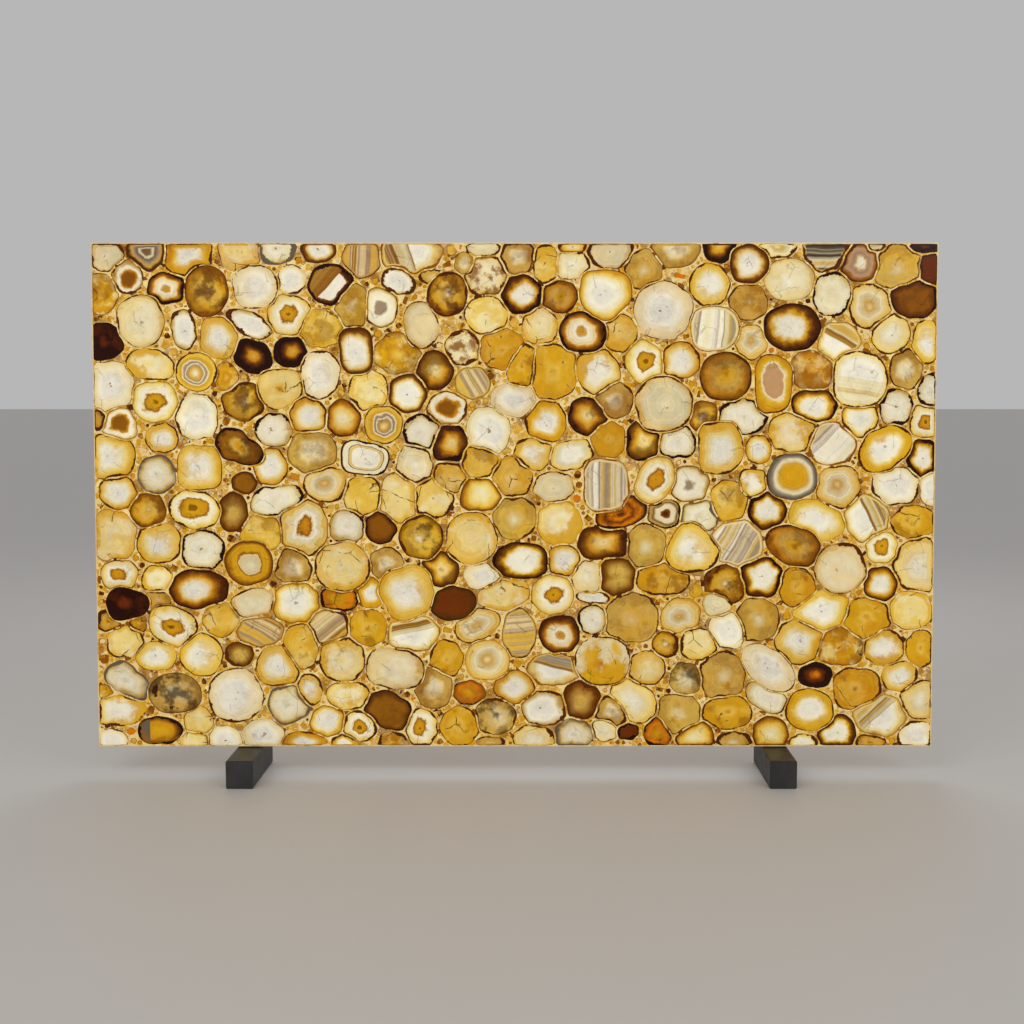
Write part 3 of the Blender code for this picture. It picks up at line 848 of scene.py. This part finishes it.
def chip_material():
    """Broken chips of every colour, mottled, many with a dark edge."""
    mat, wire = new_material("agate_chips")
    place = wire.place()
    pick = wire.attribute("pick")
    base = pick.ramp(band_stops(CHIP_COLOURS), "CONSTANT")
    cloud = place.noise(50.0, 4.0).step(0.48, 0.60)
    base = (cloud * 0.6).mix(base, tint("amber"))
    base = base.value(0.78 + place.noise(90.0, 3.0) * 0.44)
    depth = wire.attribute("depth")
    skin = (1.0 - depth.step(0.6, 2.0)) * place.noise(30.0).step(0.42, 0.5)
    base = skin.mix(base, tint("rind"))
    rough = place.noise(40.0) * 0.1 + 0.12
    finish_stone(wire, base, rough, place.noise(300.0), 0.0001)
    return mat


def steel_material():
    """Black powder coat: fine orange peel, a little dust, and rubbed places."""
    mat, wire = new_material("powder_coated_steel")
    place = wire.place()
    colour = linear(bpy.context.scene.stand_finish.steel)
    dust = place.noise(9.0, 5.0, 0.6).step(0.45, 0.8)
    base = (dust * 0.25).mix((*colour, 1.0), DUST)
    scuff = place.noise(130.0, 6.0, 0.7).step(0.66, 0.72)
    base = (scuff * 0.35).mix(base, RUBBED)
    rough = 0.40 + place.noise(22.0, 3.0) * 0.22
    peel = place.noise(900.0, 1.0)
    finish_material(wire, base, rough, bump=peel, bump_depth=0.0002)
    return mat


def rubber_material():
    mat, wire = new_material("ribbed_rubber")
    place = wire.place()
    colour = linear(bpy.context.scene.stand_finish.rubber)
    base = (place.noise(40.0, 4.0) * 0.5).mix((*colour, 1.0), DULL)
    rough = 0.68 + place.noise(60.0) * 0.2
    finish_material(wire, base, rough, bump=place.noise(500.0), bump_depth=0.0002)
    return mat


def slab_matrix():
    """The slab's own axes, read from its plate: from the lower left, X across, Y up the face, Z out."""
    plate = bpy.data.objects[PLATE_NODE]
    left = min(v.co.x for v in plate.data.vertices)
    edge = [v.co for v in plate.data.vertices if v.co.x < left + 0.0001]
    ends = sorted({(round(co.z, 5), round(co.y, 5)) for co in edge})
    low = [Vector((left, y, z)) for z, y in ends[:2]]
    high = [Vector((left, y, z)) for z, y in ends[-2:]]
    corner = (low[0] + low[1]) / 2
    up = (high[0] + high[1]) / 2 - corner
    tall = up.length
    up.normalize()
    across = Vector((1.0, 0.0, 0.0))
    out = across.cross(up)
    axes = Matrix((across, up, out)).transposed().to_4x4()
    wide = max(v.co.x for v in plate.data.vertices) - left
    return Matrix.Translation(corner) @ axes, wide, tall


class Slice:
    """A slice by its centre and its outline's radius in any direction, in the slab's plane, in metres."""

    def __init__(self, kind, centre, seed, stripe=0.0, node=None):
        self.kind = kind
        self.centre = np.array(centre)
        self.node = node
        self.draw = random.Random(seed)
        self.lined = "striped" in kind or "split" in kind
        self.stripe = math.radians(stripe) if self.lined else self.draw.uniform(0, math.tau)

    def near(self, others):
        """The others whose middles are close enough for them to touch it."""
        return [o for o in others if o is not self and np.hypot(*(o.centre - self.centre)) < NEAR]

    def ask(self, points):
        """Each point's distance from the centre as a share of the radius there: below 1 is inside."""
        gap = points - self.centre
        return np.hypot(gap[:, 0], gap[:, 1]) / self.radius(np.arctan2(gap[:, 1], gap[:, 0]))

    def outline(self, grow=0.0):
        way = np.column_stack((np.cos(self.angles), np.sin(self.angles)))
        return self.centre + (self.reaches + grow)[:, None] * way

    def covers(self, points, grow):
        """Which points lie inside the drawn outline, grown by this much."""
        gap = points - self.centre
        turns = np.concatenate((self.angles - math.tau, self.angles, self.angles + math.tau))
        far = np.interp(np.arctan2(gap[:, 1], gap[:, 0]), turns, np.tile(self.reaches, 3))
        return np.hypot(gap[:, 0], gap[:, 1]) < far + grow

    def settle(self, others, web):
        """Draws in whatever still lies on a neighbour."""
        for other in others:
            for _ in range(SETTLE_TIMES):
                on_it = other.covers(self.outline(web / 2), web / 2) & (self.reaches > LEAST_RADIUS)
                if not on_it.any():
                    break
                self.reaches[on_it] -= DRAW_IN


class OvalSlice(Slice):
    """A slice read from the list above: a bent oval with a few seeded lobes."""

    def __init__(self, kind, across, up, half_wide, half_high, tilt=0.0, form="round", spread=SPREAD):
        super().__init__(kind, (across * MM, up * MM), f"{kind} {across} {up}", tilt)
        self.halves = (half_wide * MM * spread, half_high * MM * spread)
        self.tilt = 0.0 if self.lined else math.radians(tilt)
        self.form = FORMS[form]
        draw = self.draw.uniform
        self.lobes = [(k, LOBE_SIZE * draw(0.3, 1.0), draw(0, math.tau)) for k in (3, 4, 5, 7, 9)]

    def radius(self, angle):
        square, once, twice, thrice = self.form
        turned = angle - self.tilt
        wide = np.abs(np.cos(turned) / self.halves[0]) ** square
        high = np.abs(np.sin(turned) / self.halves[1]) ** square
        bend = 1 + once * np.cos(turned) + twice * np.cos(2 * turned) + thrice * np.cos(3 * turned)
        lobe = sum(size * np.cos(k * turned + phase) for k, size, phase in self.lobes)
        return (wide + high) ** (-1 / square) * (bend + lobe)

    def press(self, others, web, border, size, points):
        """Flattens the outline where a neighbour presses on it, and where the slab was sawn."""
        self.angles = np.linspace(0, math.tau, points, endpoint=False)
        way = np.column_stack((np.cos(self.angles), np.sin(self.angles)))
        full = self.radius(self.angles)
        reach = full.copy()
        for low, high, axis in ((border, size[0] - border, 0), (border, size[1] - border, 1)):
            room = np.where(way[:, axis] > 0, high - self.centre[axis], low - self.centre[axis])
            slope = np.where(np.abs(way[:, axis]) < 0.001, np.nan, way[:, axis])
            reach = np.fmin(reach, np.maximum(room / slope, 0.002))
        for other in others:
            for _ in range(PRESS_TIMES):
                tip = self.centre + way * (reach + web / 2)[:, None]
                limit = 1.0 if other.node else (reach + web / 2) / full
                bad = (other.ask(tip) < limit + web / 2 / full) & (reach > LEAST_SHARE * full)
                if not bad.any():
                    break
                reach[bad] -= DRAW_IN
        self.reaches = reach


class CutSlice(Slice):
    """A slice that has its own pocket in the plate: the outline is that of its solid, drawn smoother."""

    def __init__(self, node, slot, inverse):
        flat = {}
        for vertex in bpy.data.objects[node].data.vertices:
            spot = inverse @ vertex.co
            if spot.z > 0:
                flat[(round(spot.x, 4), round(spot.y, 4))] = (spot.x, spot.y)
        corners = np.array(list(flat.values()))
        kind = LARGE_LOOKS.get(node, slot.removeprefix("agate_"))
        super().__init__(kind, corners.mean(axis=0), node, STRIPE_TILT.get(node, 0.0), node)
        self.slot = slot
        gap = corners - self.centre
        turn = np.arctan2(gap[:, 1], gap[:, 0])
        corners = corners[np.argsort(turn)]
        smooth = self.smoothed(corners, LARGE_POINTS // len(corners))
        gap = smooth - self.centre
        turn = np.arctan2(gap[:, 1], gap[:, 0])
        order = np.argsort(turn)
        self.turns = np.concatenate((turn[order][-1:] - math.tau, turn[order], turn[order][:1] + math.tau))
        far = np.hypot(gap[:, 0], gap[:, 1])[order]
        self.fars = np.concatenate((far[-1:], far, far[:1]))
        self.angles = turn[order]
        self.reaches = far

    @staticmethod
    def smoothed(corners, parts):
        """A round curve through the corners, with this many points to each side."""
        before, after, next_after = (np.roll(corners, shift, axis=0) for shift in (1, -1, -2))
        rows = []
        for t in np.arange(parts) / parts:
            rows.append(0.5 * (2 * corners + (after - before) * t
                               + (2 * before - 5 * corners + 4 * after - next_after) * t ** 2
                               + (3 * corners - before - 3 * after + next_after) * t ** 3))
        return np.stack(rows, axis=1).reshape(-1, 2)

    def radius(self, angle):
        return np.interp(angle, self.turns, self.fars)


def mark(taken, piece, grow):
    """Marks the grid squares that the outline covers."""
    reach = piece.reaches.max() + 0.01
    low = np.maximum(((piece.centre - reach) / (GRID * MM)).astype(int), 0)
    high = np.minimum(((piece.centre + reach) / (GRID * MM)).astype(int) + 1, np.array(taken.shape))
    if (high <= low).any():
        return
    xs, ys = np.meshgrid(np.arange(low[0], high[0]), np.arange(low[1], high[1]), indexing="ij")
    inside = piece.covers(np.column_stack((xs.ravel(), ys.ravel())) * GRID * MM, grow)
    taken[xs.ravel()[inside], ys.ravel()[inside]] = True


def spread_out(taken, half):
    """The marked squares, spread by a half size in millimetres. A disc of that size has no room there."""
    for step in range(int(half / GRID + 1)):
        wider = taken.copy()
        wider[1:] |= taken[:-1]
        wider[:-1] |= taken[1:]
        tall = wider.copy() if step % 2 else taken
        wider[:, 1:] |= tall[:, :-1]
        wider[:, :-1] |= tall[:, 1:]
        taken = wider
    return taken


def find_room(taken, draw, half, border):
    """Middles, in millimetres, of discs of this half size that are clear of the marks and of each other."""
    blocked = spread_out(taken, half)
    edge = int((half + border / MM) / GRID) + 1
    blocked[:edge] = blocked[-edge:] = blocked[:, :edge] = blocked[:, -edge:] = True
    free = np.argwhere(~blocked)
    order = list(range(len(free)))
    draw.shuffle(order)
    wide = int((2 * half + GAP) / GRID) + 1
    spots = np.arange(-wide, wide + 1)
    disc = np.hypot(spots[:, None], spots[None, :]) * GRID < 2 * half + GAP
    for i in order:
        x, y = free[i]
        if blocked[x, y]:
            continue
        yield x * GRID, y * GRID
        x0, y0 = max(x - wide, 0), max(y - wide, 0)
        window = blocked[x0:x + wide + 1, y0:y + wide + 1]
        window |= disc[x0 - x + wide:, y0 - y + wide:][:window.shape[0], :window.shape[1]]


class Chip(Slice):
    """A broken chip: five to eight corners in a disc."""

    def __init__(self, across, up, half, draw):
        super().__init__("chip", (across * MM, up * MM), f"chip {across:.1f} {up:.1f}")
        corners = draw.choice((5, 6, 6, 7, 8))
        turn = draw.uniform(0, math.tau)
        shifts = [draw.uniform(-0.25, 0.25) for _ in range(corners)]
        self.angles = turn + (np.arange(corners) + shifts) * math.tau / corners
        self.reaches = np.array([half * MM * draw.uniform(0.72, 1.0) for _ in range(corners)])


def filler(across, up, half, draw):
    """A round slice of a kind drawn by lot, in a disc of this half size."""
    high_half = half * draw.uniform(0.8, 0.96)
    kind = draw.choice(FILL_KINDS)
    piece = OvalSlice(kind, across, up, half, high_half, draw.uniform(0, 180), "round", 1.0)
    piece.angles = np.linspace(0, math.tau, FILL_POINTS, endpoint=False)
    piece.reaches = np.minimum(piece.radius(piece.angles), half * MM)
    return piece


def fill_room(slices, wide, high, sizes):
    """Fillers and then chips, in the room that the slices leave."""
    taken = np.zeros((int(wide / (GRID * MM)) + 1, int(high / (GRID * MM)) + 1), bool)
    for piece in slices:
        mark(taken, piece, sizes.web / 2)
    draw = random.Random(FILL_SEED)
    fill = []
    for half in FILL_SIZES:
        for x, y in find_room(taken, draw, half, sizes.border):
            fill.append(filler(x, y, half, draw))
            mark(taken, fill[-1], sizes.web / 2)
    chips = []
    for half in CHIP_SIZES:
        for x, y in find_room(taken, draw, half, sizes.border):
            chips.append(Chip(x, y, half, draw))
            mark(taken, chips[-1], CHIP_ROOM)
    return fill, chips


@functools.lru_cache(maxsize=None)
def laid_out():
    """Every slice and chip in place: the large ones from their solids, the rest pressed round them."""
    matrix, wide, high = slab_matrix()
    inverse = matrix.inverted()
    sizes = bpy.context.scene.slab_sizes
    slots = {s["node"]: s["material_slot"] for s in frame["record"]["subparts"]}
    large = [CutSlice(n, slots[n], inverse) for n in sorted(slots) if n.startswith(SLICE_PREFIX)]
    small = [OvalSlice(kind, *row) for kind, rows in SMALL_SLICES.items() for row in rows]
    everything = large + small
    for piece in small:
        piece.press(piece.near(everything), sizes.web, sizes.border, (wide, high), SMALL_POINTS)
    for piece in everything:
        piece.settle(piece.near(everything), sizes.web)
    fill, chips = fill_room(everything, wide, high, sizes)
    return matrix, (wide, high), large, small + fill, chips


def deselect_all():
    if bpy.context.mode != "OBJECT":
        bpy.ops.object.mode_set(mode="OBJECT")
    bpy.ops.object.select_all(action="DESELECT")


def disc_template(points):
    """A closed disc of unit radius, fanned from the middle on both faces: modelled once, then copied."""
    deselect_all()
    below = (0, 0, -0.5)
    bpy.ops.mesh.primitive_circle_add(vertices=points, radius=1.0, fill_type="TRIFAN", location=below)
    obj = bpy.context.object
    bpy.ops.object.transform_apply(location=True, rotation=True, scale=True)
    bpy.ops.object.mode_set(mode="EDIT")
    bpy.ops.mesh.select_all(action="SELECT")
    bpy.ops.mesh.extrude_region_move(TRANSFORM_OT_translate={"value": (0.0, 0.0, 1.0)})
    bpy.ops.mesh.select_all(action="SELECT")
    bpy.ops.mesh.normals_make_consistent(inside=False)
    bpy.ops.object.mode_set(mode="OBJECT")
    mesh = obj.data
    bpy.data.objects.remove(obj)
    return mesh


def write_attribute(mesh, name, values):
    layer = mesh.attributes.new(name, "FLOAT", "POINT")
    layer.data.foreach_set("value", np.asarray(values, np.float32))


def shape_disc(template, name, piece, matrix, mat, heart=0.16):
    """A copy of the template, stretched to the piece's outline, with the values that its bands follow."""
    turn = piece.draw.uniform(0, math.tau)
    off = heart * piece.reaches.min() * piece.draw.uniform(0.2, 1.0)
    heart_at = piece.centre + off * np.array((math.cos(turn), math.sin(turn)))
    obj, flat, middle = stretch_disc(template, name, piece.outline(), heart_at, matrix, THICK)
    mesh = obj.data
    normal = (-math.sin(piece.stripe), math.cos(piece.stripe))
    write_attribute(mesh, "ring", middle)
    write_attribute(mesh, "depth", np.where(middle, piece.reaches.mean() / MM, 0.0))
    write_attribute(mesh, "stripe", (flat - piece.centre) @ normal / MM)
    write_attribute(mesh, "pick", np.full(len(middle), piece.draw.random()))
    mesh.materials.clear()
    mesh.materials.append(mat)
    return obj


def stretch_disc(template, name, outline, heart_at, matrix, thick):
    """A copy of the template, stretched to an outline, its points' flat places, and which are middles."""
    mesh = template.copy()
    mesh.name = name
    coords = np.empty(len(mesh.vertices) * 3)
    mesh.vertices.foreach_get("co", coords)
    coords = coords.reshape(-1, 3)
    middle = np.hypot(coords[:, 0], coords[:, 1]) < 0.5
    turn = np.arctan2(coords[:, 1], coords[:, 0]) / math.tau
    index = np.rint(turn * len(outline)).astype(int) % len(outline)
    flat = np.where(middle[:, None], heart_at, outline[index])
    world = [matrix @ Vector((x, y, side * thick)) for (x, y), side in zip(flat, coords[:, 2])]
    mesh.vertices.foreach_set("co", np.array(world, np.float32).ravel())
    mesh.update()
    obj = bpy.data.objects.new(name, mesh)
    bpy.context.collection.objects.link(obj)
    return obj, flat, middle


def joined(objects, name):
    """The objects joined into one, as a modeller would."""
    deselect_all()
    for obj in objects:
        obj.select_set(True)
    bpy.context.view_layer.objects.active = objects[0]
    if len(objects) > 1:
        bpy.ops.object.join()
    objects[0].name = objects[0].data.name = name
    objects[0].select_set(False)
    return objects[0]


@functools.lru_cache(maxsize=None)
def agate(kind):
    return agate_material(kind)


class MakeLargeSlices(bpy.types.Operator):
    """Makes the large slices, each in place of its solid"""

    bl_idname = "slab.large_slices"
    bl_label = "Large Slices"

    def execute(self, context):
        matrix, _, large, _, _ = laid_out()
        template = disc_template(LARGE_POINTS)
        for piece in large:
            obj = shape_disc(template, "agate_" + piece.node, piece, matrix, agate(piece.kind))
            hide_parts(piece.node)
            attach(obj, BODY)
        return {"FINISHED"}


class MakeSmallSlices(bpy.types.Operator):
    """Makes the smaller slices, joined by family and region of the slab"""

    bl_idname = "slab.small_slices"
    bl_label = "Small Slices"

    def execute(self, context):
        matrix, (wide, _), _, small, _ = laid_out()
        templates = {n: disc_template(n) for n in (SMALL_POINTS, FILL_POINTS)}
        family_of = {kind: family for family, (_, kinds) in FAMILIES.items() for kind in kinds}
        groups = {}
        for i, piece in enumerate(small):
            region = min(int(piece.centre[0] / wide * REGIONS), REGIONS - 1)
            template = templates[len(piece.angles)]
            obj = shape_disc(template, f"small_slice_{i:03d}", piece, matrix, agate(piece.kind))
            groups.setdefault((family_of[piece.kind], region), []).append(obj)
        for (family, region), objects in sorted(groups.items()):
            obj = joined(objects, f"{family}_{region + 1}")
            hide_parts(PLATE_NODE)
            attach(obj, BODY)
        return {"FINISHED"}


class MakeChips(bpy.types.Operator):
    """Makes the chips between the slices, joined into one piece"""

    bl_idname = "slab.chips"
    bl_label = "Chips"

    def execute(self, context):
        matrix, _, _, _, chips = laid_out()
        templates = {n: disc_template(n) for n in sorted({len(c.angles) for c in chips})}
        mat = chip_material()
        objects = [
            shape_disc(templates[len(chip.angles)], f"chip_{i:04d}", chip, matrix, mat, heart=0.0)
            for i, chip in enumerate(chips)
        ]
        obj = joined(objects, "resin_chips")
        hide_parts(PLATE_NODE)
        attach(obj, BODY)
        return {"FINISHED"}


class MakeResin(bpy.types.Operator):
    """Makes the resin plate: a bevelled box, with a pocket cut through it for every slice and chip"""

    bl_idname = "slab.resin"
    bl_label = "Resin Plate"

    def execute(self, context):
        matrix, (wide, high), large, small, chips = laid_out()
        pieces = large + small + chips
        cutter = self.cutter(pieces)
        plate = self.sawn_box(wide, high)
        pockets = plate.modifiers.new("pockets", "BOOLEAN")
        pockets.operation = "DIFFERENCE"
        pockets.solver = "MANIFOLD"
        pockets.object = cutter
        bpy.ops.object.modifier_apply(modifier="pockets")
        if len(plate.data.polygons) < len(pieces):
            raise RuntimeError("the pockets weren't cut")
        bpy.data.objects.remove(cutter)
        plate.data.transform(matrix)
        plate.data.materials.clear()
        plate.data.materials.append(resin_material())
        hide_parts(PLATE_NODE)
        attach(plate, BODY)
        return {"FINISHED"}

    @staticmethod
    def cutter(pieces):
        """A long plug for each piece, a hair wider than it, all in one object."""
        templates = {n: disc_template(n) for n in sorted({len(piece.angles) for piece in pieces})}
        upright = Matrix.Identity(4)
        plugs = []
        for piece in pieces:
            template = templates[len(piece.angles)]
            outline = piece.outline(HAIRLINE)
            plugs.append(stretch_disc(template, "cutter", outline, piece.centre, upright, 3 * THICK)[0])
        return joined(plugs, "cutter")

    @staticmethod
    def sawn_box(wide, high):
        """The plate before its pockets are cut, lying flat, with its edges bevelled."""
        bpy.ops.mesh.primitive_cube_add(size=1.0, location=(wide / 2, high / 2, 0))
        plate = bpy.context.object
        plate.name = plate.data.name = "resin_plate"
        plate.scale = (wide, high, THICK)
        bpy.ops.object.transform_apply(location=True, rotation=True, scale=True)
        bpy.ops.object.mode_set(mode="EDIT")
        bpy.ops.mesh.select_all(action="SELECT")
        bpy.ops.mesh.bevel(offset=bpy.context.scene.slab_sizes.chamfer, segments=2, affect="EDGES")
        bpy.ops.object.mode_set(mode="OBJECT")
        return plate


class DressStand(bpy.types.Operator):
    """Gives the stand's steel and rubber their finishes"""

    bl_idname = "slab.stand"
    bl_label = "Stand"

    def execute(self, context):
        finishes = {"black_steel": steel_material(), "black_rubber": rubber_material()}
        for row in frame["record"]["subparts"]:
            if row["material_slot"] in finishes:
                obj = bpy.data.objects[row["node"]]
                obj.data.materials.clear()
                obj.data.materials.append(finishes[row["material_slot"]])
        return {"FINISHED"}


class MakeStage(bpy.types.Operator):
    """Makes the floor, the light and the camera"""

    bl_idname = "slab.stage"
    bl_label = "Stage"

    def execute(self, context):
        studio = context.scene.studio_settings
        self.floor(studio)
        for row in LAMPS:
            self.soft_light(*row)
        self.surroundings(studio)
        self.camera(studio)
        return {"FINISHED"}

    @staticmethod
    def floor(studio):
        deselect_all()
        bpy.ops.mesh.primitive_plane_add(size=300.0, location=(0, 0, 0))
        floor = bpy.context.object
        floor.name = "floor"
        mat, wire = new_material("pale_floor")
        place = wire.place()
        base = (place.noise(3.0, 5.0) * 0.10).mix((*linear(studio.floor), 1.0), SCUFFED)
        finish_material(wire, base, 0.55)
        floor.data.materials.append(mat)
        floor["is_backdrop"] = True

    @staticmethod
    def surroundings(studio):
        world = bpy.data.worlds.new("studio")
        bpy.context.scene.world = world
        world.use_nodes = True
        background = world.node_tree.nodes["Background"]
        background.inputs["Color"].default_value = (*linear(studio.sky), 1.0)
        background.inputs["Strength"].default_value = SKY_STRENGTH
        bpy.context.scene.view_settings.view_transform = "Standard"

    @staticmethod
    def soft_light(name, place, size, power):
        bpy.ops.object.light_add(type="AREA", location=place)
        lamp = bpy.context.object
        lamp.name = name
        lamp.data.shape = "RECTANGLE"
        lamp.data.size, lamp.data.size_y = size
        lamp.data.energy = power
        lamp.rotation_euler = (LAMPS_AIM - Vector(place)).to_track_quat("-Z", "Y").to_euler()

    @staticmethod
    def camera(studio):
        bpy.ops.object.camera_add(location=studio.eye, rotation=(math.pi / 2 - studio.pitch, 0, 0))
        cam = bpy.context.object
        cam.data.sensor_width = 36.0
        cam.data.lens = studio.lens
        cam.data.shift_x = studio.shift
        cam.data.clip_end = 200.0
        bpy.context.scene.camera = cam


class SlabPanel(bpy.types.Panel):
    """Lists the steps and the settings"""

    bl_idname = "VIEW3D_PT_agate_slab"
    bl_label = "Agate Slab"
    bl_space_type = "VIEW_3D"
    bl_region_type = "UI"
    bl_category = "Agate Slab"

    def draw(self, context):
        for step in STEPS:
            self.layout.operator(step.bl_idname)
        for name, group in SETTINGS.items():
            for prop in group.__annotations__:
                self.layout.prop(getattr(context.scene, name), prop)


SETTINGS = {
    "slab_colours": SlabColours,
    "slab_sizes": SlabSizes,
    "stand_finish": StandFinish,
    "studio_settings": StudioSettings,
}
STEPS = (MakeStage, MakeLargeSlices, MakeSmallSlices, MakeChips, MakeResin, DressStand)


def register():
    for cls in (*SETTINGS.values(), *STEPS, SlabPanel):
        bpy.utils.register_class(cls)
    for name, group in SETTINGS.items():
        setattr(bpy.types.Scene, name, bpy.props.PointerProperty(type=group))


def unregister():
    for name in SETTINGS:
        delattr(bpy.types.Scene, name)
    for cls in (SlabPanel, *reversed(STEPS), *SETTINGS.values()):
        bpy.utils.unregister_class(cls)


def main():
    register()
    bpy.ops.slab.stage()
    bpy.ops.slab.large_slices()
    bpy.ops.slab.small_slices()
    bpy.ops.slab.chips()
    bpy.ops.slab.resin()
    bpy.ops.slab.stand()
    boxes = {"cad": CAD_BOX, "visual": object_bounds()}
    {name: [list(corner) for corner in box] for name, box in boxes.items()}


if __name__ == "__main__":
    main()
